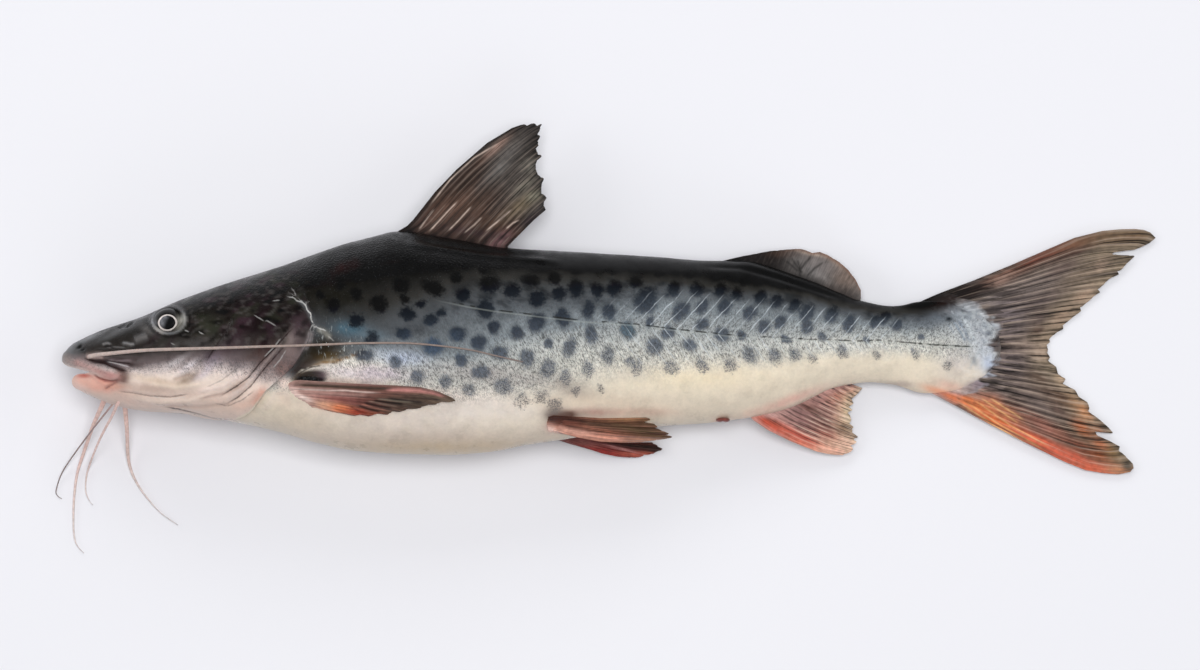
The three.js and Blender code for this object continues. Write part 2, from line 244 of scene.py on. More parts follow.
# Rings: their spacing along the fish, in millimetres, and the fold at the gill cover's rear edge. A fold ring
# has its place along a smooth body, its place on the fold, and its lift there.
GILL = 115
GILL_REACH = 60  # how far from it the rings still bend with the gill cover's edge
FOLD_START, FOLD_END = 114.2, 123.6  # no plain rings in between
FOLD = [
    (114.6, 114.9, 1.0), (115.2, 115.3, 0.93), (115.9, 115.6, 0.72), (116.6, 115.6, 0.45), (117.3, 115.3, 0.15),
    (118.1, 114.6, -0.2), (118.9, 114.3, -0.5), (119.8, 114.9, -0.8), (120.7, 116.4, -0.72), (121.7, 118.6, -0.42),
    (122.8, 121.2, -0.18),
]
FOLD_HEIGHT = 1.5
SIDES = 230  # points in a ring


def ring_places():
    """The rings' places, with the fold's rings in among the plain ones."""
    at = np.linspace(0, FLESH_LENGTH, 8000)
    gap = np.interp(at, [0, 15, 148, 180, 472, 484, 519], [0.35, 0.8, 0.84, 2.0, 2.0, 1.1, 0.9])
    count = np.concatenate([[0], np.cumsum(np.diff(at) / gap[1:])])
    rings = np.append(np.interp(np.arange(int(count[-1]) + 1), count, at), FLESH_LENGTH)
    in_front = [(a, a, ease(a, 84, 112)) for a in rings if a < FOLD_START]
    behind = [(a, a, 0) for a in rings if a > FOLD_END]
    return np.array(in_front + FOLD + behind)


rings = ring_places()
sides = np.linspace(0, 1, SIDES + 1)
turns = np.interp(sides, [0, 0.66, 1], [0, 0.5, 1])  # two thirds of the points on the upper flank

# The gill cover's rear edge, in pixels from the nape down to the throat, as a place aft for each turn
GILL_EDGE = [
    (300, 290), (308, 302), (312, 314), (311, 330), (309, 340), (304, 350), (293, 367), (283, 376), (266, 390),
    (250, 411), (238, 417),
]
edge = []
for px, py in GILL_EDGE:
    x, y = place(px, py, 66 if py < 370 else 58)
    level = girth(x - SNOUT_X)
    reach = (back(x - SNOUT_X) if y > level else belly(x - SNOUT_X)) - level
    share = min(1, (y - level) / reach) ** (boxy(x - SNOUT_X) / 2)
    edge.append((math.acos(share if y > level else -share) / (2 * math.pi), x - SNOUT_X))
edge = np.array([(0, 116)] + edge + [(0.5, 82)])
fold_turn = np.where(turns > 0.5, 1 - turns, turns)
gill_aft = np.interp(fold_turn, edge[:, 0], edge[:, 1])
fold_depth = ease(fold_turn, edge[1, 0] - 0.02, edge[3, 0]) * (1 - 0.45 * ease(fold_turn, 0.36, 0.5))

smooth_aft, fold_aft, lift = rings.T
aft = smooth_aft[:, None] + fold_depth * (fold_aft - smooth_aft)[:, None]
bent = np.cos(np.clip((aft - GILL) / GILL_REACH, -1, 1) * np.pi / 2) ** 2
aft = aft + (gill_aft - GILL) * bent
turn = np.broadcast_to(turns, aft.shape)
lift = FOLD_HEIGHT * fold_depth * lift[:, None]

# Which way the bare skin faces, from its run along the fish and its run round it
bare = skin_point(aft, turn)
along = skin_point(np.minimum(aft + 0.4, FLESH_LENGTH - 0.02), turn) - skin_point(np.maximum(aft - 0.4, 0.02), turn)
about = skin_point(aft, turn + 0.0015) - skin_point(aft, turn - 0.0015)
outward = np.cross(about, along, axis=0)
outward /= np.maximum(np.linalg.norm(outward, axis=0), 1e-9)
outward *= np.sign(np.sum(outward * (bare - np.stack([bare[0], girth(aft), middle(aft)])), axis=0) + 1e-9)


def seen(x, y, z):
    """The pixels of places on the fish, those of its lower flank taken as their mirror on the upper one."""
    level = middle(x - SNOUT_X)
    return seen_at(x, y, level + np.abs(z - level))


def past_ridge(at, x, z):
    """0 where the head's marks would run together along its ridge or its keel, 1 everywhere else."""
    flank = ease(np.abs(z - middle(x - SNOUT_X)) / np.maximum(half_width(x - SNOUT_X), 1), 0.14, 0.48)
    return 1 - (1 - flank) * ease(at[0], 345, 325) * np.maximum(ease(at[0], 128, 140), ease(at[1], 350, 344))


def near(at, line):
    """Distance in pixels from a line of points, the side of it, and the share along it."""
    line = np.array(line, float)
    leg = np.diff(line, axis=0)
    length = np.hypot(leg[:, 0], leg[:, 1])
    run = np.concatenate([[0], np.cumsum(length)])
    far, side, share = np.full(at[0].shape, 1e9), np.ones(at[0].shape), np.zeros(at[0].shape)
    for (x, y), (dx, dy), size, before in zip(line, leg, length, run):
        t = np.clip(((at[0] - x) * dx + (at[1] - y) * dy) / size**2, 0, 1)
        off = at[0] - x - t * dx, at[1] - y - t * dy
        d = np.hypot(*off)
        nearer = d < far
        far = np.where(nearer, d, far)
        side = np.where(nearer, np.sign(dx * off[1] - dy * off[0]), side)
        share = np.where(nearer, (before + t * size) / run[-1], share)
    return far, side, share


def stroke(at, line, width):
    """1 on a line of points, fading over its width and towards its ends."""
    far, _, share = near(at, line)
    return np.exp(-((far / width) ** 2)) * np.clip(np.minimum(share, 1 - share) * 8, 0.12, 1)


def thin_lines(at, lines):
    """The signed distance in pixels from the nearest of some lines, and how strong that line is there."""
    off, strength = np.full(at[0].shape, 99.0), np.zeros(at[0].shape)
    for line, start, end in lines:
        far, side, share = near(at, line)
        nearer = far < np.abs(off)
        off = np.where(nearer, far * side, off)
        fading = np.clip(np.minimum(share, 1 - share) * 9, 0, 1)
        strength = np.where(nearer, (start + (end - start) * share) * fading, strength)
    return off, strength * (np.abs(off) < 5)


def patch(at, x, y, across, down, lean=0):
    """1 in the middle of an oval patch, fading to its rim and beyond. A lean is in degrees, clockwise."""
    c, s = math.cos(math.radians(lean)), math.sin(math.radians(lean))
    dx, dy = at[0] - x, at[1] - y
    return np.exp(-(((dx * c + dy * s) / across) ** 2) - ((dy * c - dx * s) / down) ** 2)


def mottle(x, y, size, seed=0):
    """Soft random patches of about a size, from 0 to 1."""
    x, y = x / size + seed * 17.3, y / size - seed * 9.1
    ix, iy = np.floor(x), np.floor(y)
    fx, fy = x - ix, y - iy
    fx, fy = fx * fx * (3 - 2 * fx), fy * fy * (3 - 2 * fy)

    def corner(a, b):
        v = np.sin((ix + a) * 127.1 + (iy + b) * 311.7 + seed * 74.7) * 43758.5453
        return v - np.floor(v)

    low = corner(0, 0) + (corner(1, 0) - corner(0, 0)) * fx
    high = corner(0, 1) + (corner(1, 1) - corner(0, 1)) * fx
    return low + (high - low) * fy


def rough_mottle(x, y, size, seed=0):
    """Random patches of about a size with finer ones in them, from 0 to 1."""
    return 0.55 * mottle(x, y, size, seed) + 0.3 * mottle(x, y, size / 2.3, seed + 1) + 0.15 * mottle(
        x, y, size / 5, seed + 2
    )


# Lines of the head that are raised here and drawn darker or paler further on
MOUTH_FOLD = [(84, 358.5), (94, 361), (104, 363), (112, 366.5), (121, 370), (128, 371.5)]
MOUTH_PLEAT = [(107, 361.5), (118, 364), (130, 367)]
JAW_FOLD = [(117, 391), (133, 393), (150, 396), (171, 397), (189, 394)]
GILL_FOLD = [(289, 332), (281, 341), (273, 350), (260, 363), (249, 377), (237, 386), (219, 397)]
GILL_CREASE = [(281, 350), (273, 359), (265, 368), (251, 386), (237, 398), (226, 404)]
# Creases and ridges: a line, its width in pixels, its height in millimetres, its colour and how strong that is.
# Along the grooves the darker colours are partly their own and partly painted shade in them.
MARKS = [
    (
        [(70, 361), (84, 365.5), (95, 370.5), (105, 375), (114, 376.3), (121, 377), (125, 373)], 4.2, 1.6, "#a9827d",
        0.75,
    ),
    ([(93, 374), (98, 377.5), (105, 380.3), (113, 381.3), (119, 379.5)], 1.2, -1.0, "#7b4743", 0.75),
    ([(121, 374), (124, 378), (123, 383)], 4.6, 0.9, "#6b544e", 0.8),
    ([(98, 379), (106, 385), (116, 387)], 3.6, 0.6, None, 0),
    ([(85, 357.5), (94, 356.8), (104, 355.5)], 3.2, 0.9, "#c0a8a2", 0.7),
    ([(121, 378), (115, 383), (104, 389)], 1.7, -0.5, "#8a5950", 0.6),
    ([(128, 398), (160, 402), (190, 400), (214, 394)], 2.4, 0.5, "#e6d5c8", 0.5),
    ([(160, 405.5), (200, 407), (238, 403)], 1.8, -0.4, "#b59a8d", 0.5),
    ([(198, 399), (228, 393), (248, 381)], 1.6, -0.4, "#ab8f84", 0.5),
    ([(196, 392), (224, 386), (244, 372)], 2.2, 0.4, "#dfcdc6", 0.45),
    ([(148, 383), (176, 387.5), (204, 384)], 2.6, 0.4, "#e4d2bf", 0.5),
    ([(251, 405), (259, 398), (262, 389)], 2.4, 0.5, "#d3a593", 0.5),
    ([(263, 411), (270, 402), (276, 392)], 2.8, 0.5, "#e3d2c6", 0.5),
    ([(172, 380), (182, 377), (192, 373)], 1.8, -0.3, "#9d8272", 0.5),
    ([(90, 362), (100, 361), (114, 364), (137, 366)], 1.6, -0.7, "#3a2c2b", 0.75),
    (MOUTH_FOLD, 1.7, -1.2, "#2c1718", 0.9),
    ([(112, 359), (126, 360), (140, 359)], 1.5, -0.5, "#332a29", 0.6),
    (MOUTH_PLEAT, 1.3, 0.6, "#948489", 0.7),
    ([(108, 359.5), (120, 360.5), (133, 361)], 1.1, 0.5, "#8a7c7f", 0.6),
    ([(102, 344.6), (107, 343.2), (111, 344.4)], 1.1, 0.6, "#8f8d8c", 0.6),
    ([(106, 348), (116, 347.4), (126, 348)], 0.9, 0.5, "#7d7b7a", 0.5),
    ([(122, 343), (127, 343.4), (131, 344.6), (135, 344)], 1.3, 0.7, "#8c8a8a", 0.75),
    ([(104, 346.2), (110, 346), (114, 349)], 1.0, -0.4, "#1d1a1a", 0.8),
    ([(117.5, 328.6), (122, 326), (126.5, 323)], 1.5, -1.0, "#070606", 1.0),
    ([(126.5, 326.4), (131, 323.6)], 1.3, -0.8, "#070606", 1.0),
    ([(117, 326), (122, 323.4), (127, 320.6)], 0.9, 0.3, "#7f7f80", 0.6),
    ([(94, 349), (106, 350), (122, 350), (133, 352)], 1.5, -0.4, "#262322", 0.6),
    ([(134, 340.5), (141, 338), (148, 335.5)], 3.2, 0.9, "#7d7a79", 0.6),
    ([(131, 348), (146, 345), (158, 341)], 1.6, -0.5, "#232120", 0.5),
    (GILL_FOLD, 1.7, -1.1, None, 0), (GILL_CREASE, 1.6, -0.9, None, 0),
    ([(284, 340), (270, 357), (256, 374), (243, 388), (226, 400)], 2.2, 0.7, "#b9a9a6", 0.35),
    ([(292, 348), (276, 368), (262, 384), (246, 402)], 3.0, 0.5, None, 0),
    (JAW_FOLD, 1.5, -0.5, None, 0),
    ([(177, 409), (195, 413), (212, 418), (234, 421)], 1.6, -0.6, None, 0),
    ([(150, 401), (180, 402), (212, 400)], 5.0, 0.7, None, 0),
    ([(237, 318), (230, 330), (220, 346), (208, 364)], 2.6, 0.8, None, 0),
    ([(233, 316), (226, 330), (216, 346), (203, 364)], 2.4, -0.6, "#2f2425", 0.55),
    ([(412, 238), (440, 243), (475, 249), (508, 252), (542, 254)], 3.4, -1.4, "#070707", 0.85),
    ([(405, 245), (440, 249), (480, 256), (520, 259), (562, 262)], 3.0, 0.8, None, 0),
    ([(392, 238), (401, 234), (411, 240)], 4.0, -0.8, "#0a0a0a", 0.5),
    ([(735, 262), (770, 270), (808, 283), (858, 300)], 5.0, 1.1, None, 0),
    ([(700, 266), (740, 268), (780, 279), (820, 292), (850, 301)], 2.4, -0.5, "#0a0a0b", 0.7),
    ([(905, 384), (935, 392), (962, 404), (985, 412)], 7.0, 0.6, None, 0),
    ([(905, 308), (935, 300), (965, 289)], 6.0, 0.6, None, 0),
    ([(296, 384), (307, 386), (322, 387)], 3.0, 0.6, None, 0),
]
# Hollows and bulges: x, y, size across and down in pixels, lean, and height in millimetres. Those of the two
# nostrils come first, and are painted black as shade where they're hollow.
NOSTRIL_SWELLS = 6
SWELLS = [
    (131.5, 322.6, 2.6, 1.3, -28, -1.3), (125.5, 326.2, 2.6, 1.2, -20, -1.2), (128, 319.6, 6, 1.6, -25, 0.45),
    (79.5, 346.8, 3.2, 1.6, -38, -1.2), (77, 343.6, 4.5, 1.7, -38, 0.5), (83, 349.5, 2.4, 1.3, -30, -0.6),
    (210, 350, 46, 22, -8, 1.6), (262, 318, 34, 24, 20, 1.3), (150, 384, 40, 9, 4, 0.9),
    (309, 377.5, 17, 5.5, -6, -4.0), (292, 382, 7, 4, 0, 0.8), (287, 391, 12, 8, 20, 1.0),
    (264, 392, 14, 9, -40, 0.6), (556, 424, 24, 8, 5, 1.4), (560, 408, 40, 8, 0, 0.6), (790, 404, 44, 6, -20, 0.9),
    (990, 340, 18, 40, 0, 0.4), (452, 262, 60, 12, 5, 0.7), (378, 262, 40, 18, -15, 0.8), (345, 300, 30, 20, 0, -0.5),
]
EYE_SOCKET = (168.8, 319.6, 18.2, 15.4)  # middle, and the size of the rim across and down


def socket_share(at):
    """How far a place is from the middle of the eye's socket, 1 at its rim."""
    return np.hypot((at[0] - EYE_SOCKET[0]) / EYE_SOCKET[2], (at[1] - EYE_SOCKET[1]) / EYE_SOCKET[3])


def relief(at):
    """How far the skin's marks stand off its plain form, in millimetres."""
    rise = np.zeros(at[0].shape)
    for line, width, height, _, _ in MARKS:
        rise += height * stroke(at, line, width)
    for x, y, across, down, lean, height in SWELLS:
        rise += height * patch(at, x, y, across, down, lean)
    out = socket_share(at)
    rim = 0.9 * np.exp(-(((out - 0.93) / 0.11) ** 2)) - 0.5 * np.exp(-(((out - 1.2) / 0.1) ** 2))
    rise += rim * ease(at[1], 301, 316)
    rise -= 2.6 * (1 - ease(out, 0.6, 0.85))
    lump = rough_mottle(at[0], at[1], 26, 3) - 0.5
    rise += 0.5 * lump * ease(at[0], 190, 260)
    return rise


at = seen(*bare)
ends = ease(smooth_aft, 0, 0.8) * ease(smooth_aft, FLESH_LENGTH, FLESH_LENGTH - 2)
marked = relief(at) * ease(bare[2], 0.5, 4) * past_ridge(at, bare[0], bare[2])
skin = bare + outward * (lift + marked) * ends[:, None]
skin[2] = np.maximum(skin[2], 0)


def new_grid(name, points):
    """A grid primitive shaped to rows of points in millimetres, an array of 3 by rows by places."""
    rows, places = points.shape[1] - 1, points.shape[2] - 1
    bpy.ops.object.select_all(action="DESELECT")
    bpy.ops.mesh.primitive_grid_add(x_subdivisions=rows, y_subdivisions=places, size=1, calc_uvs=True)
    piece = bpy.context.object
    piece.name = name
    piece.data.name = name
    flat = np.empty(len(piece.data.vertices) * 3, np.float32)
    piece.data.vertices.foreach_get("co", flat)
    u, v = flat.reshape(-1, 3)[:, 0] + 0.5, flat.reshape(-1, 3)[:, 1] + 0.5
    row, at_place = np.rint(u * rows).astype(int), np.rint(v * places).astype(int)
    shaped = points[:, row, at_place].T / 1000
    piece.data.vertices.foreach_set("co", shaped.astype(np.float32).ravel())
    piece.data.update()
    return piece


def edit(*steps):
    """Runs edit-mode operators on the whole of the active piece, each given as (operator, settings)."""
    bpy.ops.object.mode_set(mode="EDIT")
    bpy.ops.mesh.select_all(action="SELECT")
    for step, settings in steps:
        step(**settings)
    bpy.ops.object.mode_set(mode="OBJECT")


body = new_grid("skin", skin)
edit(
    (bpy.ops.mesh.remove_doubles, {"threshold": 0.000001}),
    (bpy.ops.mesh.normals_make_consistent, {"inside": False}),
)

# The mouth is open a few millimetres in front. A wedge of that outline is cut through the snout.
MOUTH_OPENING = [
    (48, 361), (62.3, 361.3), (66, 364.6), (70.5, 366.6), (76, 367.6), (81, 368.9), (86, 370.2), (93, 371.6),
    (87, 373.4), (81, 373.6), (77.6, 375), (75.2, 377), (73.5, 379.5), (72.9, 382.5), (73.3, 385), (75, 387.6),
    (78, 390), (60, 396), (46, 390),
]
bpy.ops.object.select_all(action="DESELECT")
bpy.ops.mesh.primitive_circle_add(vertices=len(MOUTH_OPENING), radius=1, fill_type="NGON")
wedge = bpy.context.object
for vertex, (px, py) in zip(wedge.data.vertices, MOUTH_OPENING):
    x, y = place(px, py, 40)
    vertex.co = (x / 1000, y / 1000, -0.02)
bpy.ops.object.mode_set(mode="EDIT")
bpy.ops.mesh.select_all(action="SELECT")
bpy.ops.mesh.extrude_region_move(TRANSFORM_OT_translate={"value": (0, 0, 0.13)})
bpy.ops.mesh.select_all(action="SELECT")
bpy.ops.mesh.normals_make_consistent(inside=False)
bpy.ops.object.mode_set(mode="OBJECT")

bpy.context.view_layer.objects.active = body
cut = body.modifiers.new("mouth", "BOOLEAN")
cut.operation = "DIFFERENCE"
cut.solver = "EXACT"
cut.object = wedge
bpy.ops.object.modifier_apply(modifier="mouth")
bpy.data.objects.remove(wedge)


def coordinates(piece):
    """A piece's points in millimetres, an array of 3 by points."""
    flat = np.empty(len(piece.data.vertices) * 3, np.float32)
    piece.data.vertices.foreach_get("co", flat)
    return flat.reshape(-1, 3).T.astype(float) * 1000


# The cut lips are rounded off by easing the points next to the opening.
x, y, z = coordinates(body)
at = seen(x, y, z)
lip, _, _ = near(at, MOUTH_OPENING[1:-2])
group = body.vertex_groups.new(name="lips")
for weight, reach in ((0.5, 2.6), (1.0, 1.3)):
    group.add([int(i) for i in np.nonzero((lip < reach) & (at[0] > 60))[0]], weight, "REPLACE")
soften = body.modifiers.new("soft_lips", "SMOOTH")
soften.factor, soften.iterations, soften.vertex_group = 0.5, 4, "lips"
bpy.ops.object.modifier_apply(modifier="soft_lips")
body.vertex_groups.clear()
bpy.ops.object.shade_smooth()

# The skin's tones from the back down to the belly. Each starts at its own line, given as how far down it is in
# pixels at these places along the trunk and the head.
TRUNK_AT = [300, 340, 380, 420, 470, 520, 570, 620, 670, 720, 770, 820, 870, 920, 960, 1000]
TRUNK_TONES = [
    ("#0f0f0f", [285, 278, 270, 268, 262, 266, 270, 271, 271, 278, 284, 294, 304, 307, 292, 284]),
    ("#353432", [304, 300, 306, 294, 279, 278, 278, 280, 282, 286, 290, 299, 311, 315, 301, 293]),
    ("#575b5f", [350, 338, 336, 323, 309, 306, 302, 297, 292, 296, 302, 307, 318, 320, 311, 302]),
    ("#7f868a", [376, 358, 350, 356, 355, 331, 328, 316, 308, 312, 316, 319, 325, 328, 318, 310]),
    ("#abaeac", [382, 366, 357, 364, 366, 349, 338, 338, 343, 346, 341, 334, 335, 337, 333, 325]),
    ("#cbc8be", [388, 372, 363, 400, 396, 392, 370, 362, 362, 358, 357, 350, 346, 350, 356, 350]),
    ("#e8dcc7", [396, 394, 408, 410, 406, 405, 402, 384, 384, 373, 370, 362, 360, 362, 370, 374]),
    ("#d2c4b2", [424, 440, 444, 444, 444, 442, 440, 436, 428, 428, 426, 420, 410, 396, 402, 415]),
]
SPOT_TONES = ["#070708", "#101114", "#22262c", "#343a44", "#474f5b", "#5a5f68", "#736e6b", "#7f776f"]
HEAD_AT = [62, 80, 100, 120, 140, 170, 200, 240, 270, 300]
HEAD_TONES = [
    ("#151413", [336, 330, 322, 316, 310, 302, 294, 284, 274, 264]),
    ("#211f1d", [345, 342, 337, 332, 328, 324, 316, 308, 300, 290]),
    ("#3a3634", [352, 352, 352, 353, 354, 350, 342, 344, 340, 334]),
    ("#6a5f5f", [356, 357, 360, 363, 364, 361, 357, 359, 364, 361]),
    ("#9c9190", [360, 361, 365, 367, 367, 365, 363, 366, 372, 373]),
    ("#d0c2bd", [364, 367, 370, 371, 372, 372, 370, 373, 380, 381]),
    ("#e8d7cb", [372, 374, 376, 377, 378, 379, 380, 382, 386, 390]),
    ("#d9c2b5", [390, 390, 391, 392, 393, 395, 398, 404, 412, 420]),
    ("#d2bdb1", [398, 400, 402, 405, 407, 410, 414, 420, 424, 428]),
]


def tone_level(at, places, tones):
    """How many tone lines a place is past, with its share of the way to the next."""
    level = np.zeros(at[0].shape)
    lines = [np.interp(at[0], places, line) for _, line in tones]
    for above, below in zip(lines, lines[1:]):
        level += np.clip((at[1] - above) / np.maximum(below - above, 1), 0, 1)
    return level


def colour_of(level, codes):
    """Linear colours, blended from a row of hex codes at levels 0, 1, 2 and so on."""
    ramp = np.array([linear(code) for code in codes])
    return np.stack([np.interp(level, range(len(codes)), ramp[:, i]) for i in range(3)])


def wash(colour, mask, code):
    """Lays a colour over another where the mask is."""
    colour += np.clip(mask, 0, 1) * (linear(code)[:, None] - colour)


x, y, z = coordinates(body)
at = seen(x, y, z)
waver = np.array([at[0] + 5 * (rough_mottle(*at, 14, 5) - 0.5), at[1] + 7 * (rough_mottle(*at, 11, 8) - 0.5)])
trunk_level = tone_level(waver, TRUNK_AT, TRUNK_TONES)
head_level = tone_level(waver, HEAD_AT, HEAD_TONES)
gill_side = near(at, [(325, 255)] + GILL_EDGE + [(222, 430)])
on_head = ease(np.where(gill_side[1] > 0, gill_side[0], -gill_side[0]), -0.8, 0.8)
soft_head = ease(300 - at[0] + 0.2 * (at[1] - 300), -25, 25)
on_head = np.where(at[1] < 292, soft_head, on_head)
paint = colour_of(trunk_level, [c for c, _ in TRUNK_TONES])
paint += on_head * (colour_of(head_level, [c for c, _ in HEAD_TONES]) - paint)
off_head = 1 - on_head
marks_on = past_ridge(at, x, z)
around = at[1] + 0.45 * z / MM_STEP

# Patches of colour on the head or the body, each over the ones before it: x, y, size across and down, lean,
# colour and strength
WASHES = [
    ("head", [
        (100, 386, 20, 6, 8, "#dd9e8c", 0.8), (80, 384, 9, 8, 0, "#eccabd", 0.85),
        (84, 376.5, 9, 2.5, 0, "#b2685f", 0.8), (104, 381, 12, 3.5, 10, "#c47f72", 0.7),
        (66, 358, 5, 5, 0, "#8b8079", 0.6), (72, 362, 9, 4, 20, "#9a8984", 0.6), (122, 371, 8, 4, 30, "#3f2c2b", 0.7),
        (114, 362, 18, 3.4, 8, "#2b1f1f", 0.85), (134, 365, 12, 3, 8, "#4d403f", 0.7),
        (186, 381, 12, 6, -20, "#8f7a68", 0.6), (198, 374, 12, 3, -25, "#85705f", 0.45),
        (156, 381, 24, 4, 12, "#c2ab92", 0.5), (212, 359, 12, 7, -45, "#8d7f8c", 0.45),
        (234, 360, 9, 8, -45, "#6d6063", 0.45), (176, 362, 12, 3, -30, "#d6cfd0", 0.4),
        (188, 367, 12, 3, -35, "#dcd3d6", 0.45), (205, 372, 12, 4, -40, "#d3c7cf", 0.5),
        (262, 396, 8, 9, 30, "#d09480", 0.65), (264, 372, 12, 10, 40, "#8d7d7a", 0.6),
        (246, 404, 14, 5, -20, "#e0bba9", 0.5), (123, 378, 6, 8, 0, "#644d47", 0.8),
        (110, 375.5, 7, 3.2, 10, "#cb8f8b", 0.9), (100, 371.5, 8, 2.6, 28, "#a98782", 0.6),
        (84, 375.6, 6, 1.8, 0, "#a94f48", 0.9), (90, 383, 16, 5, 12, "#e6b3a2", 0.8),
        # Painted sheen along the snout's top edge: the patch at (71, 349) here and both patches on the next line
        (117, 386, 10, 4, 0, "#d0a08f", 0.6), (71, 349, 8, 10, -38, "#6c6d6f", 0.6),
        (86, 338.5, 16, 3.4, -24, "#7a7b7d", 0.7), (120, 330.5, 30, 3.0, -26, "#5f5f60", 0.5),
        (150, 330, 8, 4, 20, "#6d6a68", 0.6), (222, 350, 16, 5, -10, "#4f4043", 0.6),
        (240, 384, 14, 7, -35, "#bfa79c", 0.5), (150, 388, 24, 5, 5, "#bfa79a", 0.6),
        (262, 401, 9, 6, 25, "#b9968a", 0.6), (281, 368, 6, 9, 38, "#6d5854", 0.8),
        (291, 369, 7, 9, 35, "#4b3837", 0.85),
    ]),
    ("body", [
        # The first patch below is painted shade in the pit behind the gill cover
        (304, 368, 17, 6, -22, "#3d2f2b", 0.9), (835, 345, 110, 6, 1, "#cbcbc5", 0.6),
        (958, 309, 18, 6, -8, "#504d52", 0.7), (930, 322, 20, 6, 0, "#565b62", 0.5),
        (480, 410, 85, 16, 0, "#f0e5da", 0.55), (450, 396, 30, 8, 5, "#cfc2b8", 0.5),
        (500, 376, 80, 10, 6, "#9d9794", 0.55), (574, 392, 22, 9, 10, "#a89d93", 0.55),
        (352, 372, 26, 7, 3, "#cdbfc1", 0.85), (352, 381, 30, 4, 3, "#b09f9b", 0.8),
        (388, 357, 12, 5, 6, "#c3c9d1", 0.6), (900, 384, 16, 3, 2, "#b09f98", 0.5),
        (322, 357, 18, 5, -8, "#443b34", 0.7), (292, 352, 10, 12, 30, "#3a3634", 0.8),
        (350, 361, 12, 5, -10, "#94877b", 0.6),
    ]),
    ("head", [
        (262, 350, 16, 10, -35, "#443431", 0.8), (264, 362, 8, 8, -35, "#65534f", 0.6),
        (262, 320, 36, 22, 10, "#1f181a", 0.8), (290, 342, 6, 12, 25, "#8b7d7a", 0.7),
        (298, 330, 6, 14, 15, "#55494c", 0.6), (238, 330, 8, 20, 25, "#35262c", 0.6),
        (205, 326, 22, 10, 0, "#33342b", 0.6), (226, 342, 20, 6, 0, "#4b4144", 0.5),
        (290, 356, 8, 12, 30, "#7b6a68", 0.6), (196, 344, 20, 5, 0, "#4c4a49", 0.5),
        (200, 405, 40, 8, 6, "#d6bfb0", 0.4), (130, 400, 20, 5, 8, "#d3b3a6", 0.4),
        (284, 372, 6, 6, 40, "#8b726c", 0.6),
    ]),
    ("body", [
        (318, 350, 26, 15, -12, "#2c2822", 0.95), (330, 300, 40, 22, 0, "#1b1a16", 0.6),
        (345, 266, 26, 9, -24, "#2c1912", 0.5), (470, 247, 72, 6, 7, "#060606", 0.95),
        (430, 241, 34, 6, 6, "#060606", 0.9), (392, 262, 24, 6, -8, "#221a15", 0.5),
        # The first patch below is painted shade in the pit behind the gill cover
        (306, 366, 13, 6, -30, "#1f1917", 0.9), (330, 356, 18, 5, -12, "#4a3c26", 0.6),
        (350, 329, 16, 7, 5, "#46616f", 0.65), (372, 335, 16, 5, 5, "#64757f", 0.5),
        (404, 358, 22, 7, 6, "#b1bacb", 0.7), (404, 346, 18, 6, 5, "#73767a", 0.5),
        (415, 330, 26, 9, 0, "#3e4043", 0.6), (352, 371, 26, 6, 4, "#d6c8ca", 0.85),
        (384, 374, 26, 7, 4, "#bfb3bd", 0.6), (345, 378, 18, 5, 0, "#cdbdbf", 0.7),
        (284, 383, 8, 6, 20, "#e6cfc4", 0.85), (300, 400, 16, 5, 20, "#cdb8ae", 0.8),
        (328, 364, 12, 3.5, -12, "#cdb896", 0.7), (330, 411, 26, 5, 8, "#e3cfbd", 0.7),
        (284, 400, 12, 10, 10, "#ddc5b5", 0.5), (300, 420, 30, 8, 12, "#d2c1aa", 0.4),
        (590, 412, 30, 5, 0, "#b58a80", 0.6), (640, 412, 30, 5, 0, "#d3ad9b", 0.5),
        (552, 427, 8, 6, 0, "#d9b3a6", 0.6), (566, 414, 17, 4.5, 4, "#5d4038", 0.95),
        (553, 410, 12, 9, -50, "#837872", 0.7), (556, 418, 8, 4, 0, "#54352f", 0.9),
        (400, 420, 80, 20, 0, "#d8cbc3", 0.5), (480, 405, 50, 12, 0, "#d6ccc4", 0.45),
        (420, 438, 110, 8, 0, "#c2b2a6", 0.45), (958, 362, 18, 12, 0, "#cac3bf", 0.6),
        (640, 374, 30, 7, 0, "#c3bcb2", 0.45), (722, 424, 8, 6, 0, "#d9a090", 0.6),
        (790, 400, 36, 5, -20, "#dfb0a2", 0.6), (760, 412, 18, 5, -12, "#e2bda9", 0.5),
        # The first patch on the line below, along the keel's lower edge, is painted shade
        (450, 447, 110, 7, 0, "#c3af94", 0.6), (640, 440, 60, 6, 0, "#cdb592", 0.4),
        (700, 378, 60, 12, 0, "#efdfc0", 0.5), (600, 402, 60, 8, 0, "#d9c3ad", 0.4),
    ]),
]
broken = 1.25 * (0.55 + 0.9 * rough_mottle(*at, 7, 11))
for where, washes in WASHES:
    mask = broken * (on_head * marks_on if where == "head" else off_head)
    for px, py, across, down, lean, code, strength in washes:
        wash(paint, strength * mask * patch(at, px, py, across, down, lean), code)


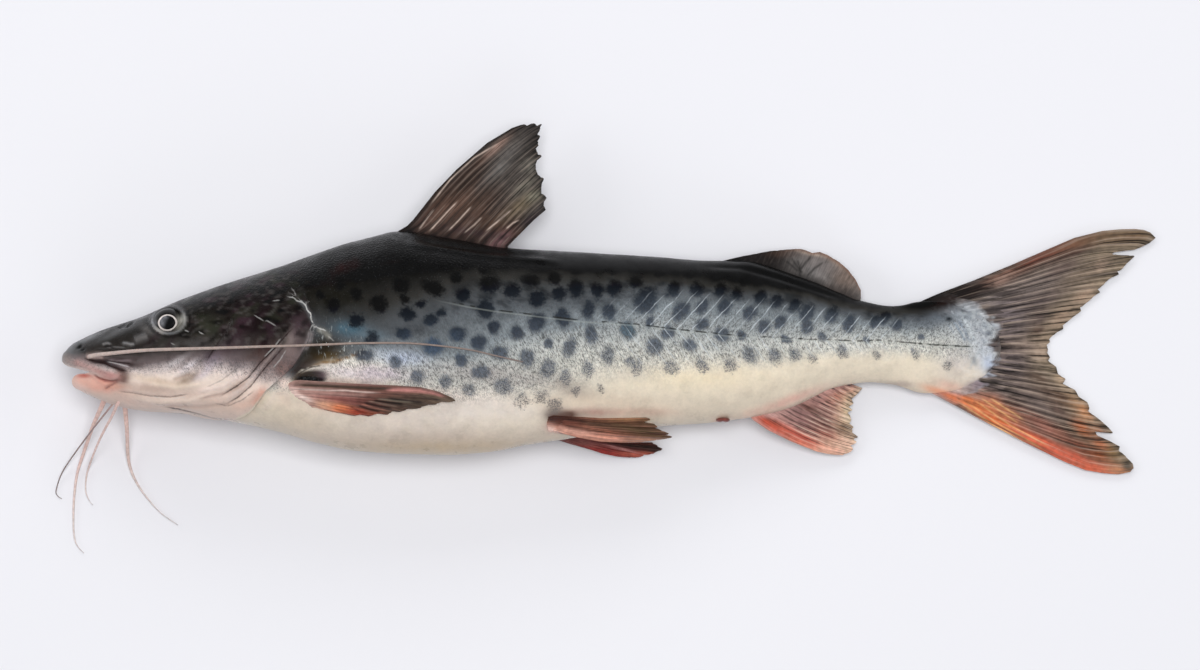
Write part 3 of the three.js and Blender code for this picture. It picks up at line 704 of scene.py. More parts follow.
# The tail's root: pale blue-grey speckled flesh over the roots of the rays, dark above and orange below. The
# tail fin is painted with it too.
TAIL_ROOT = [
    (975, 325, 24, 18, 0, "#b1b5b8", 0.85), (985, 345, 14, 24, 0, "#b9bec5", 0.8),
    (990, 364, 9, 10, 0, "#bdc7da", 0.85), (962, 316, 16, 8, 30, "#8b9299", 0.7),
    (978, 384, 14, 6, -15, "#8b7a83", 0.9), (972, 389, 7, 5, 0, "#6f5f64", 0.8),
    (956, 374, 18, 12, 0, "#d6cabd", 0.7), (950, 386, 16, 5, 15, "#d9b6a5", 0.8),
    (930, 389, 14, 4, 18, "#e0916c", 0.7), (952, 397, 16, 4, 22, "#e0825a", 0.9),
    (968, 401, 12, 4, 25, "#de7f52", 0.9), (930, 303, 30, 7, -16, "#141110", 1.0),
    (952, 299, 20, 7, -20, "#221a18", 0.9), (972, 290, 22, 7, -24, "#33241f", 0.9),
    (965, 299, 7, 3, -30, "#7c7471", 0.7), (975, 297, 5, 3, -30, "#2b282b", 0.8),
    (980, 301, 10, 4, -25, "#5a5152", 0.8), (961, 310, 8, 2, 20, "#3f4248", 0.6),
    (940, 318, 16, 5, 8, "#5c636b", 0.6), (949, 319, 3.5, 2.5, 0, "#1f2328", 0.9),
    (989, 334, 4, 3, 0, "#3b4350", 0.7), (974, 360, 2.5, 5, -20, "#878b90", 0.6), (992, 348, 6, 3, 0, "#8f93a0", 0.5),
    (993, 311, 10, 6, -20, "#a09b9b", 0.6),
]
TAIL_STREAKS = [
    ([(953, 320), (960, 331), (966, 343)], 1.1, "#6f8090", 0.7),
    ([(958, 320), (965, 332), (971, 343)], 1.1, "#65768a", 0.7),
    ([(948, 324), (955, 334)], 1.0, "#7b8894", 0.5), ([(963, 318), (971, 331), (975, 343)], 1.4, "#cbd3d6", 0.6),
    ([(968, 300), (975, 294), (984, 287)], 1.4, "#1d1714", 0.8),
    ([(905, 342), (940, 345), (976, 347)], 0.8, "#6c736c", 0.8),
    ([(981, 348), (975, 358), (970, 368)], 1.2, "#9aa0a6", 0.5), ([(1006, 319), (994, 320)], 1.3, "#4a4245", 0.7),
    ([(1006, 328), (991, 331)], 1.2, "#3c3a41", 0.7), ([(1008, 337), (995, 337)], 1.4, "#2d282c", 0.8),
    ([(1006, 345), (992, 346)], 1.2, "#57525c", 0.7), ([(1006, 361), (993, 358)], 1.4, "#453c42", 0.7),
    ([(1004, 370), (992, 366)], 1.3, "#4b4247", 0.7), ([(1000, 380), (986, 375)], 1.3, "#463a3e", 0.7),
    ([(1004, 312), (990, 314)], 1.2, "#5d5557", 0.6), ([(994, 387), (980, 381)], 1.3, "#4a3a3c", 0.6),
]


def tail_root(colour, at, there):
    """Paints the tail's root where it is."""
    flecked = 0.35 + 1.3 * mottle(at[0] * 1.3, at[1], 3.2, 71)
    for px, py, across, down, lean, code, strength in TAIL_ROOT:
        wash(colour, 1.15 * strength * there * patch(at, px, py, across, down, lean), code)
    for line, width, code, strength in TAIL_STREAKS:
        wash(colour, strength * there * stroke(at, line, width), code)
    pale = patch(at, 980, 338, 26, 34) * there
    wash(colour, 0.35 * pale * (flecked > 1.15), "#dfe3e6")
    wash(colour, 0.35 * pale * (flecked < 0.72), "#7f8894")


def flesh_share(at):
    """1 on the pale flesh over the roots of the tail's rays and 0 on the web, with a ragged edge."""
    edge_y = [284, 292, 298, 304, 312, 330, 345, 360, 375, 388, 398, 406]
    edge_x = np.interp(at[1], edge_y, [925, 944, 962, 978, 989, 997, 992, 993, 990, 978, 962, 952])
    ragged = at[0] + 8 * (rough_mottle(*at, 6, 51) - 0.5) + 13 * (mottle(0.12 * at[0], at[1], 2.8, 52) - 0.5)
    return ease(ragged, edge_x + 4, edge_x - 4)


tail_root(paint, at, ease(at[0], 905, 945))
rays_on = (1 - flesh_share(at)) * ease(at[0], 925, 950) * ease(at[1], 396, 388)
wash(paint, 0.9 * rays_on, "#564843")
wash(paint, 0.75 * rays_on * (mottle(0.1 * at[0], at[1], 2.4, 53) > 0.55), "#211917")

# Below this line the shoulder's dark skin gives way to the pale chest, with an ochre rim
SHOULDER_LINE = [(291, 379), (299, 373), (308, 368), (318, 364.5), (333, 361.5), (350, 358), (362, 351)]
far, side, share = near(waver, SHOULDER_LINE)
below = ease(np.where(side > 0, far, -far), -0.6, 1.2) * off_head
below = below * (at[0] < 372) * ease(at[0], 286, 294) * ease(at[1], 412, 396)
chest = colour_of(np.clip(5 + (at[1] - 360) / 22, 5, 6.6), [c for c, _ in TRUNK_TONES])
paint += below * ease(at[0], 372, 350) * (chest - paint)
wash(paint, 0.85 * below * patch(at, 350, 373, 30, 8, 5), "#cdc2c6")
wash(paint, 0.7 * below * patch(at, 338, 381.5, 44, 3.4, 4), "#a5918c")
wash(paint, 0.85 * np.exp(-((far / 1.5) ** 2)) * off_head * ease(share, 0.25, 0.5), "#7d5c31")
# The dark back breaks up raggedly into the flank
blotch = ease(rough_mottle(at[0], 1.4 * at[1], 9, 91), 0.45, 0.72)
blotch = blotch * ease(trunk_level, 0.7, 1.2) * ease(trunk_level, 2.7, 1.7) * off_head * ease(at[0], 400, 480)
wash(paint, 0.6 * blotch, "#17191c")

# The marks' colours, those along the grooves partly painted shade
for line, width, _, code, strength in MARKS:
    if code:
        wash(paint, strength * marks_on * stroke(at, line, width * 1.05), code)
# Painted shade: black in the nostrils' hollows
for px, py, across, down, lean, height in SWELLS[:NOSTRIL_SWELLS]:
    wash(paint, (height < 0) * 0.9 * patch(at, px, py, across * 1.1, down * 1.15, lean), "#060606")
# Painted shade in the deep pit behind the gill cover, over the chest fin's root
wash(paint, 0.92 * ease(patch(at, 309, 377.5, 19, 7.5, -8), 0.25, 0.6), "#33251f")
wash(paint, 0.98 * ease(patch(at, 311, 379.3, 15, 4, 2), 0.2, 0.55), "#0f0706")
wash(paint, 0.5 * patch(at, 323, 374, 9, 4, 25), "#6a5663")

# Thin dark creases, their dark being painted shade, and pale scratches and painted glints, each with its
# strength at both ends. The shader draws them finely.
dark_lines = thin_lines(at, [
    ([(295, 326)] + GILL_FOLD, 0.9, 0.75),
    (JAW_FOLD, 0.35, 0.55),
    ([(118, 381), (112, 385), (105, 389)], 0.15, 0.3),
    ([(233, 316), (228, 328), (220, 340), (212, 352), (206, 362)], 0.6, 0.7),
    ([(165, 407), (178, 409), (195, 413), (212, 418), (236, 422)], 0.9, 0.4),
    ([(296, 376), (303, 371), (312, 367), (322, 365.5)], 0.7, 0.7),
    ([(106, 360.6), (118, 362.3), (132, 364)], 0.9, 0.7),
    ([(205, 388), (222, 380), (240, 366)], 0.2, 0.35),
])
more_dark_lines = thin_lines(at, [
    ([(285, 345)] + GILL_CREASE, 0.85, 0.7),
    (MOUTH_FOLD, 1.0, 0.9),
    ([(214, 403), (228, 406), (242, 400), (254, 391)], 0.3, 0.45),
    ([(253, 409), (266, 392), (280, 380)], 0.15, 0.3),
])
scratch_and_glint_lines = thin_lines(at, [
    (
        [(286, 295.5), (290, 297.5), (293, 297), (297, 301), (302, 302), (306, 305.5), (307, 310), (311, 314),
        (311, 319), (314, 325), (318, 328)], 0.35, 1.0,
    ),
    ([(291, 288), (294, 291), (296, 296)], 0.15, 0.3), ([(318, 329), (322, 328.6), (326, 331)], 0.7, 0.5),
    ([(313, 324), (310, 329), (311, 333)], 0.6, 0.2), ([(304, 303), (300, 300)], 0.5, 0.3),
    ([(328, 336), (334, 341)], 0.3, 0.25),
    ([(254, 315), (259, 318), (264, 321)], 0.4, 0.25), ([(266, 320), (271, 323), (276, 326)], 0.3, 0.3),
    ([(185, 330), (189, 332)], 0.4, 0.4), ([(199, 332), (204, 334.5)], 0.4, 0.4),
    ([(272, 301), (280, 300)], 0.3, 0.3),
    ([(171, 343), (175, 345)], 0.3, 0.3), ([(286, 350), (280, 360), (273, 368)], 0.3, 0.3),
    ([(150, 396.5), (170, 399), (188, 396.5)], 0.25, 0.3), ([(281, 338), (274, 347), (264, 357)], 0.3, 0.5),
    (MOUTH_PLEAT, 0.5, 0.4),
])

# Clouds of olive, plum, black and grey on the top of the head
for size, code, share_of, seed in (
    (12, "#2e3128", 0.5, 81), (11, "#3b2c33", 0.5, 83), (7, "#0c0b0b", 0.7, 85), (4, "#6a6664", 0.22, 87),
):
    cloud = ease(mottle(at[0] + 0.7 * around, around - 0.3 * at[0], size, seed), 0.55, 0.9)
    wash(paint, share_of * cloud * ease(head_level, 2.9, 1.8) * on_head * ease(at[0], 120, 190), code)

# The rim of pale torn skin along the gill cover's rear edge, partly a painted glint
for line, width, code, strength in (
    ([(297, 301), (304, 304), (308, 311), (312, 319), (315, 326), (320, 330)], 2.2, "#6d6f72", 0.5),
    ([(318, 329), (325, 332), (331, 339)], 2.6, "#97948a", 0.6),
    ([(311, 330), (309, 340), (304, 351)], 2.2, "#a89fa0", 0.5),
):
    wash(paint, strength * stroke(at, line, width) * (0.55 + 0.9 * mottle(*at, 2.2, 21)), code)

# Round the eye: a painted highlight on the wet rim, painted shade in the groove outside it and a dark brow over it
out = socket_share(at)
rim_light = np.exp(-(((out - 0.9) / 0.07) ** 2))
wash(paint, marks_on * 0.8 * (1 - ease(out, 0.8, 0.95)), "#2b2a29")
wash(paint, marks_on * 0.7 * rim_light, "#77787b")
# Painted highlights on the socket's wet rim, to the left of the eye, below it and as a crescent to its right
for px, py, across, down, lean, code in (
    (153.5, 321, 4, 7, 10, "#8b8b8e"), (158, 330, 7, 3, 30, "#9a9692"), (182.3, 319.5, 3, 5, 12, "#b9b7b0"),
    (178.5, 326, 5, 4, -40, "#75726b"),
):
    wash(paint, marks_on * 0.9 * patch(at, px, py, across, down, lean) * (out < 1), code)
lid = [(153.6, 319), (157, 315), (162, 311.6), (167, 309.4), (172, 308.6), (177, 310), (181, 313)]
wash(paint, marks_on * 0.9 * stroke(at, lid, 1.5), "#0d0c0c")
# Painted shade in the groove outside the rim
wash(paint, marks_on * 0.55 * np.exp(-(((out - 1.14) / 0.09) ** 2)), "#121212")
wash(paint, marks_on * 0.6 * patch(at, 171, 305, 12, 4, 5), "#1c1612")

# Spots: x, y and radius in pixels. They're round on the back and smeared along the muscles on the rear flank.
SPOTS = [
    (320, 295, 5), (333, 305, 7), (356, 294, 7), (356, 321, 8), (379, 304, 9), (372, 338, 7), (401, 285, 9),
    (404, 299, 5), (408, 314, 8), (403, 334, 7), (421, 304, 5), (431, 320, 7), (441, 313, 5), (433, 288, 9.5),
    (446, 265, 7), (457, 277, 6), (463, 295, 7), (458, 334, 8.5), (433, 347, 10), (460, 360, 6.5), (418, 377, 7),
    (445, 382, 7), (468, 390, 6.5), (481, 372, 8.5), (479, 343, 8), (486, 309, 10), (490, 283, 10), (484, 268, 6),
    (466, 264, 6), (494, 328, 6.5), (500, 353, 8), (503, 387, 8.5), (512, 291, 8), (517, 332, 7.5), (527, 359, 8.5),
    (523, 401, 8), (530, 280, 8), (537, 299, 9), (537, 322, 10), (549, 344, 5), (548, 368, 8.5), (542, 397, 7),
    (554, 278, 7), (559, 294, 8), (563, 318, 9.5), (570, 347, 8.5), (566, 378, 7), (555, 406, 7), (576, 288, 9),
    (395, 362, 7), (364, 355, 8), (505, 263, 6), (525, 261, 6), (576, 391, 5), (597, 291, 8), (614, 288, 8),
    (636, 281, 7), (589, 311, 8), (609, 312, 8), (646, 301, 13), (673, 290, 8), (681, 311, 10), (697, 290, 8),
    (628, 330, 9), (591, 335, 8), (608, 356, 8), (588, 370, 7), (654, 346, 9), (637, 367, 6.5), (629, 361, 4.5),
    (668, 332, 7), (690, 345, 7), (671, 368, 7.5), (702, 366, 7), (702, 324, 7), (702, 307, 7), (720, 290, 7),
    (725, 307, 8), (722, 335, 8), (730, 365, 7), (750, 355, 8), (775, 357, 7.5), (795, 355, 6), (813, 359, 5.5),
    (842, 352, 6.5), (877, 355, 5), (750, 313, 8), (763, 326, 7), (737, 293, 7), (760, 298, 7), (780, 322, 7),
    (776, 301, 7), (807, 326, 7), (807, 313, 8), (822, 336, 5), (832, 315, 8), (849, 324, 8), (794, 306, 7),
    (601, 390, 4.5), (340, 285, 6), (650, 322, 5), (742, 336, 5), (786, 340, 5), (875, 322, 5.5), (897, 326, 6),
    (921, 337, 4), (915, 355, 5), (948, 366, 5), (884, 318, 7), (866, 340, 4), (560, 262, 6), (590, 266, 6),
    (612, 268, 6), (660, 270, 7), (640, 266, 6), (690, 272, 7), (716, 276, 7), (745, 281, 6), (575, 270, 5),
    (540, 264, 5),
]
rng = np.random.default_rng(7)
spots = np.full(at[0].shape, -1.0)
ragged_at = at + 3.2 * np.array([mottle(*at, 5, 41) - 0.5, mottle(*at, 5, 42) - 0.5])
for px, py, size in SPOTS:
    tall = 1 + 0.16 * rng.standard_normal() + (0.4 if px > 560 and py > 285 else 0)
    lean = rng.uniform(-25, 25) if px < 640 else rng.uniform(20, 40) * (1 if py < 335 else -1)
    c, s = math.cos(math.radians(lean)), math.sin(math.radians(lean))
    dx, dy = (ragged_at[0] - px) / (size * 1.12), (ragged_at[1] - py) / (size * 1.12)
    wide = np.hypot((dx * c + dy * s) * tall**0.5, (dy * c - dx * s) / tall**0.5)
    spots = np.maximum(spots, 1 - wide)
spots = np.where(on_head > 0.5, -1, spots)
level = np.where(on_head > 0.5, head_level, trunk_level)
ink = colour_of(trunk_level, SPOT_TONES)
wash(ink, 0.45 * patch(at, 433, 347, 30, 16), "#4c5f76")
wash(ink, 0.5 * patch(at, 628, 330, 14, 12), "#44606c")
wash(ink, 0.1 * ease(at[0], 560, 690) * ease(trunk_level, 1.4, 2.6), "#76808a")

# The side line runs from the shoulder to the tail. The muscles' blocks show as pale chevrons astride it.
SIDE_LINE = [
    (425, 294), (437, 299), (471, 306), (496, 310), (529, 314), (579, 320), (636, 324), (675, 329), (713, 333),
    (742, 336), (770, 337), (809, 339), (858, 341), (880, 340), (935, 345), (985, 347),
]
line_x, line_y = np.array(SIDE_LINE).T
above = (np.interp(at[0], line_x, line_y) - at[1]) * MM_STEP / 1000
on_line = ease(at[0], 428, 475) * ease(at[0], 980, 960)
chevrons = ease(at[0], 560, 670) * ease(at[0], 935, 870) * ease(trunk_level, 1.6, 2.8) * ease(trunk_level, 6, 4)
hatch = np.maximum(
    ease(trunk_level, 1.2, 2.8) * ease(trunk_level, 6.2, 4.6) * off_head
    * ease(at[0], 320, 350) * ease(at[0], 985, 935),
    0.5 * on_head * ease(head_level, 2.4, 3.6) * ease(head_level, 6.3, 5) * ease(at[0], 130, 190),
)
leather = np.maximum(
    ease(at[0], 200, 250) * ease(at[0], 590, 440) * ease(trunk_level, 2.2, 0.4) * (1 - 0.5 * on_head),
    0.3 * on_head * ease(head_level, 3, 1.4),
)
flecks = np.clip(patch(at, 336, 340, 20, 14) + patch(at, 345, 350, 22, 7), 0, 1) * off_head


def attribute(piece, name, values):
    """Stores a value, or a linear colour, for each point of a piece."""
    kind = "FLOAT_COLOR" if values.ndim == 2 else "FLOAT"
    made = piece.data.attributes.new(name, kind, "POINT")
    if kind == "FLOAT":
        made.data.foreach_set("value", values.astype(np.float32))
    else:
        made.data.foreach_set("color", np.vstack([values, np.ones(values.shape[1])]).T.astype(np.float32).ravel())


# The wet gloss adds a little light of its own all over, so that much is taken off the skin's colours.
GLOSS = 0.0075
for name, values in (
    ("crease", dark_lines[0]), ("crease_on", marks_on * dark_lines[1]), ("fold", more_dark_lines[0]),
    ("fold_on", marks_on * more_dark_lines[1]), ("scratch_and_glint", scratch_and_glint_lines[0]), ("scratch_and_glint_on", marks_on * scratch_and_glint_lines[1]),
    ("tone", np.maximum(paint - GLOSS, 0.003)), ("spot_tone", np.maximum(ink - GLOSS, 0.002)), ("spots", spots),
    ("level", level / (len(SPOT_TONES) - 1)), ("over_line", above), ("on_line", on_line), ("chevrons", chevrons),
    ("hatch", hatch), ("leather", leather), ("flecks", flecks),
):
    attribute(body, name, values)

# Catfish skin: bare, wet and slimy, with no scales. A thin clear coat gives the wet gloss, and the pigment
# under it is broken up by fine slanting lines half a millimetre apart. The nape is grained like leather.
# How often each pattern repeats to a metre:
FINE_GRAIN = 620  # 1.6 mm
BROAD_GRAIN = 95  # 10 mm
SLANT_LINES = 2200  # 0.5 mm
SPOT_SPECKS = 1500  # 0.7 mm
STIPPLE = 1700  # 0.6 mm
CHEVRONS = 1 / 0.0075  # 7.5 mm
SIDE_LINE_DASHES = 260  # 4 mm
SLIME_FLECKS = 900  # 1.1 mm
LEATHER_PITS = 900  # 1.1 mm

wet_skin, tree = new_material("wet_catfish_skin")
space = add(tree, "TexCoord").outputs["Object"]
level_at, over_line, hatch_on, line_share, leather_on = (
    add(tree, "Attribute", attribute_name=name).outputs["Fac"]
    for name in ("level", "over_line", "hatch", "on_line", "leather")
)
fine = add(tree, "TexNoise", {"Vector": space, "Scale": FINE_GRAIN, "Detail": 4, "Roughness": 0.65})
broad = add(tree, "TexNoise", {"Vector": space, "Scale": BROAD_GRAIN, "Detail": 5, "Roughness": 0.6})

# Fine slanting lines, 3 mm long. They lean forwards over the side line and back under it.
slants = []
for angle in (35, -26):
    lean = add(tree, "Mapping", {"Vector": space, "Rotation": (0, 0, math.radians(angle))})
    lean = add(tree, "Mapping", {"Vector": lean, "Scale": (1, 0.15, 1)})
    slants.append(add(tree, "TexNoise", {"Vector": lean, "Scale": SLANT_LINES, "Detail": 2, "Roughness": 0.6}))
over_it = add(tree, "MapRange", {0: over_line, 1: -0.004, 2: 0.004}, interpolation_type="SMOOTHSTEP")
lines = add(tree, "Mix", {0: over_it, 2: slants[1], 3: slants[0]}, data_type="FLOAT")
lines_on = add(tree, "Math", {0: lines, 1: -0.5}, operation="ADD")
lines_on = add(tree, "Math", {0: lines_on, 1: hatch_on}, operation="MULTIPLY")
lines_on = add(tree, "Math", {0: lines_on, 1: 1.15}, operation="MULTIPLY")
light = add(tree, "Math", {0: broad, 1: 0.5, 2: 0.75}, operation="MULTIPLY_ADD")
speck = add(tree, "Math", {0: fine, 1: 0.5}, operation="SUBTRACT")
rough_on = add(tree, "Math", {0: hatch_on, 1: 1.2, 2: 0.22}, operation="MULTIPLY_ADD")
speck = add(tree, "Math", {0: speck, 1: rough_on}, operation="MULTIPLY")
light = add(tree, "Math", {0: light, 1: speck}, operation="ADD")
light = add(tree, "Math", {0: light, 1: lines_on}, operation="ADD")
colour = add(tree, "Attribute", attribute_name="tone")

# Spots: crisp in the dark skin, and breaking up into specks in the pale skin
ragged = add(tree, "Math", {0: fine, 1: 0.5}, operation="SUBTRACT")
amount = add(tree, "MapRange", {0: level_at, 1: 0.5, 2: 0.8, 3: 1.1, 4: 2.4}, interpolation_type="SMOOTHSTEP")
ragged = add(tree, "Math", {0: ragged, 1: amount}, operation="MULTIPLY")
spots_at = add(tree, "Attribute", attribute_name="spots").outputs["Fac"]
edge_of = add(tree, "Math", {0: spots_at, 1: ragged}, operation="ADD")
spot_on = add(tree, "MapRange", {0: edge_of, 1: -0.2, 2: 0.46}, interpolation_type="SMOOTHSTEP")
fade = add(tree, "MapRange", {0: level_at, 1: 0.25, 2: 0.98, 3: 0.95, 4: 0.84}, interpolation_type="SMOOTHSTEP")
specks = add(tree, "TexNoise", {"Vector": space, "Scale": SPOT_SPECKS, "Detail": 2})
specks = add(tree, "MapRange", {0: specks, 1: 0.44, 2: 0.56, 3: 0.35, 4: 1.1}, interpolation_type="SMOOTHSTEP")
in_pale = add(tree, "MapRange", {0: level_at, 1: 0.55, 2: 0.82}, interpolation_type="SMOOTHSTEP")
specks = add(tree, "Mix", {0: in_pale, 2: 1.0, 3: specks}, data_type="FLOAT")
spot_on = add(tree, "Math", {0: spot_on, 1: fade}, operation="MULTIPLY")
spot_on = add(tree, "Math", {0: spot_on, 1: specks}, operation="MULTIPLY")
spot_tone = add(tree, "Attribute", attribute_name="spot_tone")
colour = add(tree, "Mix", {0: spot_on, 6: colour, 7: spot_tone}, data_type="RGBA")

# Between the dark skin and the pale, the pigment thins out as a fine dark stipple.
between = add(tree, "MapRange", {0: level_at, 1: 0.35, 2: 0.5}, interpolation_type="SMOOTHSTEP")
between_end = add(tree, "MapRange", {0: level_at, 1: 0.84, 2: 0.66}, interpolation_type="SMOOTHSTEP")
between = add(tree, "Math", {0: between, 1: between_end}, operation="MULTIPLY")
peppered = add(tree, "TexNoise", {"Vector": space, "Scale": STIPPLE, "Detail": 2, "Roughness": 0.7})
grains = add(tree, "Math", {0: fine, 1: 0.5, 2: peppered}, operation="MULTIPLY_ADD")
grains = add(tree, "Math", {0: grains, 1: lines_on}, operation="ADD")
grains = add(tree, "MapRange", {0: grains, 1: 0.76, 2: 0.6}, interpolation_type="SMOOTHSTEP")
grains = add(tree, "Math", {0: grains, 1: between}, operation="MULTIPLY")
grains = add(tree, "Math", {0: grains, 1: 0.6}, operation="MULTIPLY")
colour = add(tree, "Mix", {0: grains, 6: colour, 7: shade("#4a4b4d")}, data_type="RGBA")
colour = add(tree, "VectorMath", {0: colour, "Scale": light}, operation="SCALE")

# Chevrons of pale connective tissue, leaning back on both sides of the side line
over = add(tree, "Math", {0: over_line}, operation="ABSOLUTE")
across = add(tree, "SeparateXYZ", {0: space}).outputs[0]
bent = add(tree, "Math", {0: over, 1: -0.85, 2: across}, operation="MULTIPLY_ADD")
wobble = add(tree, "Math", {0: broad, 1: 0.004, 2: bent}, operation="MULTIPLY_ADD")
phase = add(tree, "Math", {0: wobble, 1: CHEVRONS}, operation="MULTIPLY")
for operation in ("FRACT", "SUBTRACT", "ABSOLUTE"):  # how far it is from half way
    phase = add(tree, "Math", {0: phase, 1: 0.5}, operation=operation)
block = add(tree, "MapRange", {0: phase, 1: 0.075, 2: 0.0}, interpolation_type="SMOOTHSTEP")
chevrons_on = add(tree, "Attribute", attribute_name="chevrons").outputs["Fac"]
block = add(tree, "Math", {0: block, 1: chevrons_on}, operation="MULTIPLY")
worn = add(tree, "MapRange", {0: broad, 1: 0.38, 2: 0.58, 3: 0.1, 4: 0.7}, interpolation_type="SMOOTHSTEP")
block = add(tree, "Math", {0: block, 1: worn}, operation="MULTIPLY")
colour = add(tree, "Mix", {0: block, 6: colour, 7: shade("#c4ccd2")}, data_type="RGBA")

# Side line: a dark broken thread 0.8 mm wide with a pale lower edge
dash = add(tree, "TexNoise", {"Vector": space, "Scale": SIDE_LINE_DASHES, "Detail": 1})
dash = add(tree, "MapRange", {0: dash, 1: 0.42, 2: 0.56}, interpolation_type="SMOOTHSTEP")
thread = add(tree, "MapRange", {0: over, 1: 0.00062, 2: 0.0002}, interpolation_type="SMOOTHSTEP")
thread = add(tree, "Math", {0: thread, 1: line_share}, operation="MULTIPLY")
dark_thread = add(tree, "Math", {0: thread, 1: dash}, operation="MULTIPLY")
dark_thread = add(tree, "Math", {0: dark_thread, 1: 0.8}, operation="MULTIPLY")
under = add(tree, "Math", {0: over_line, 1: 0.0009}, operation="ADD")
under = add(tree, "Math", {0: under}, operation="ABSOLUTE")
under = add(tree, "MapRange", {0: under, 1: 0.0007, 2: 0.0001}, interpolation_type="SMOOTHSTEP")
under = add(tree, "Math", {0: under, 1: line_share}, operation="MULTIPLY")
under = add(tree, "Math", {0: under, 1: 0.22}, operation="MULTIPLY")
colour = add(tree, "Mix", {0: under, 6: colour, 7: shade("#aab0aa")}, data_type="RGBA")
colour = add(tree, "Mix", {0: dark_thread, 6: colour, 7: shade("#23231f")}, data_type="RGBA")

# Creases about a pixel wide, drawn dark as painted shade, and pale scratches and painted glints
for name, width, code in (("crease", 1.25, "#231818"), ("fold", 1.15, "#2e2020"), ("scratch_and_glint", 1.0, "#cfcecb")):
    distance = add(tree, "Attribute", attribute_name=name).outputs["Fac"]
    strength = add(tree, "Attribute", attribute_name=name + "_on").outputs["Fac"]
    away = add(tree, "Math", {0: distance}, operation="ABSOLUTE")
    away = add(tree, "Math", {0: fine, 1: 1.6, 2: away}, operation="MULTIPLY_ADD")
    line_on = add(tree, "MapRange", {0: away, 1: width + 0.8, 2: 0.9}, interpolation_type="SMOOTHSTEP")
    line_on = add(tree, "Math", {0: line_on, 1: strength}, operation="MULTIPLY")
    colour = add(tree, "Mix", {0: line_on, 6: colour, 7: shade(code)}, data_type="RGBA")

# Pale flecks, short and slanting, where slime has dried
slant = add(tree, "Mapping", {"Vector": space, "Rotation": (0, 0, math.radians(40)), "Scale": (1, 0.3, 1)})
fleck = add(tree, "TexNoise", {"Vector": slant, "Scale": SLIME_FLECKS, "Detail": 2})
fleck = add(tree, "MapRange", {0: fleck, 1: 0.58, 2: 0.68}, interpolation_type="SMOOTHSTEP")
flecks_on = add(tree, "Attribute", attribute_name="flecks").outputs["Fac"]
fleck = add(tree, "Math", {0: fleck, 1: flecks_on}, operation="MULTIPLY")
fleck = add(tree, "Math", {0: fleck, 1: 0.55}, operation="MULTIPLY")
colour = add(tree, "Mix", {0: fleck, 6: colour, 7: shade("#bfc4c2")}, data_type="RGBA")

# Leathery grain: pits whose rims carry small painted glints of pale grey
cells = add(tree, "TexVoronoi", {"Vector": space, "Scale": LEATHER_PITS, "Randomness": 1.0}, feature="F1")
painted_glint = add(tree, "MapRange", {0: cells.outputs["Distance"], 1: 0.16, 2: 0.02}, interpolation_type="SMOOTHSTEP")
painted_glint = add(tree, "Math", {0: painted_glint, 1: leather_on}, operation="MULTIPLY")
painted_glints_in = add(tree, "MapRange", {0: broad, 1: 0.42, 2: 0.6, 4: 0.85}, interpolation_type="SMOOTHSTEP")
painted_glint = add(tree, "Math", {0: painted_glint, 1: painted_glints_in}, operation="MULTIPLY")
colour = add(tree, "Mix", {0: painted_glint, 6: colour, 7: shade("#6e7071")}, data_type="RGBA")
cells_high = add(tree, "Math", {0: cells.outputs["Distance"], 1: leather_on}, operation="MULTIPLY")
height = add(tree, "Math", {0: broad, 1: 0.55, 2: speck}, operation="MULTIPLY_ADD")
bump = add(tree, "Bump", {"Height": height, "Strength": 0.22, "Distance": 0.0008})
bump = add(tree, "Bump", {"Height": cells_high, "Strength": 0.6, "Distance": 0.0005, "Normal": bump})
bump = add(tree, "Bump", {"Height": lines_on, "Strength": 0.25, "Distance": 0.0004, "Normal": bump})
wet = add(tree, "MapRange", {0: broad, 1: 0.35, 2: 0.65, 3: 0.26, 4: 0.46}, interpolation_type="SMOOTHSTEP")
shader = add(
    tree,
    "BsdfPrincipled",
    {
        "Base Color": colour, "Roughness": wet, "IOR": 1.4, "Specular IOR Level": 0.24, "Normal": bump,
        "Coat Weight": 0.08, "Coat Roughness": 0.16, "Subsurface Weight": 0.04,
        "Subsurface Radius": (1.0, 0.4, 0.25), "Subsurface Scale": 0.002,
    },
)
add(tree, "OutputMaterial", {"Surface": shader})
body.data.materials.append(wet_skin)
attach(body, "root")
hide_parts("catfish")


# --- Eyes ---
# Two clouded eyeballs, each in a socket of loose skin: a black pupil gone milky, a thin silvery iris ring
# round it, and a clear wet cornea over both. Outside the iris the ball has the dark socket's colours, with
# the rim's painted highlights to its left and right.
BALL = 9.0
PUPIL_RIM, IRIS_RIM = 0.0043, 0.00525  # in metres
EYE_AFT, EYE_UP = 60.4, 7.4
TURNED = 9  # degrees that the eyes look up towards the back
# Eyeball: jelly behind a clear cornea, so it has a full gloss and a cloudy blue-grey haze
eyeball, tree = new_material("clouded_eye_jelly")
out_at = add(tree, "Attribute", attribute_name="out").outputs["Fac"]
haze = add(tree, "TexNoise", {"Vector": add(tree, "TexCoord").outputs["Object"], "Scale": 420, "Detail": 3})
across = add(tree, "Attribute", attribute_name="across").outputs["Fac"]
up = add(tree, "Attribute", attribute_name="up").outputs["Fac"]
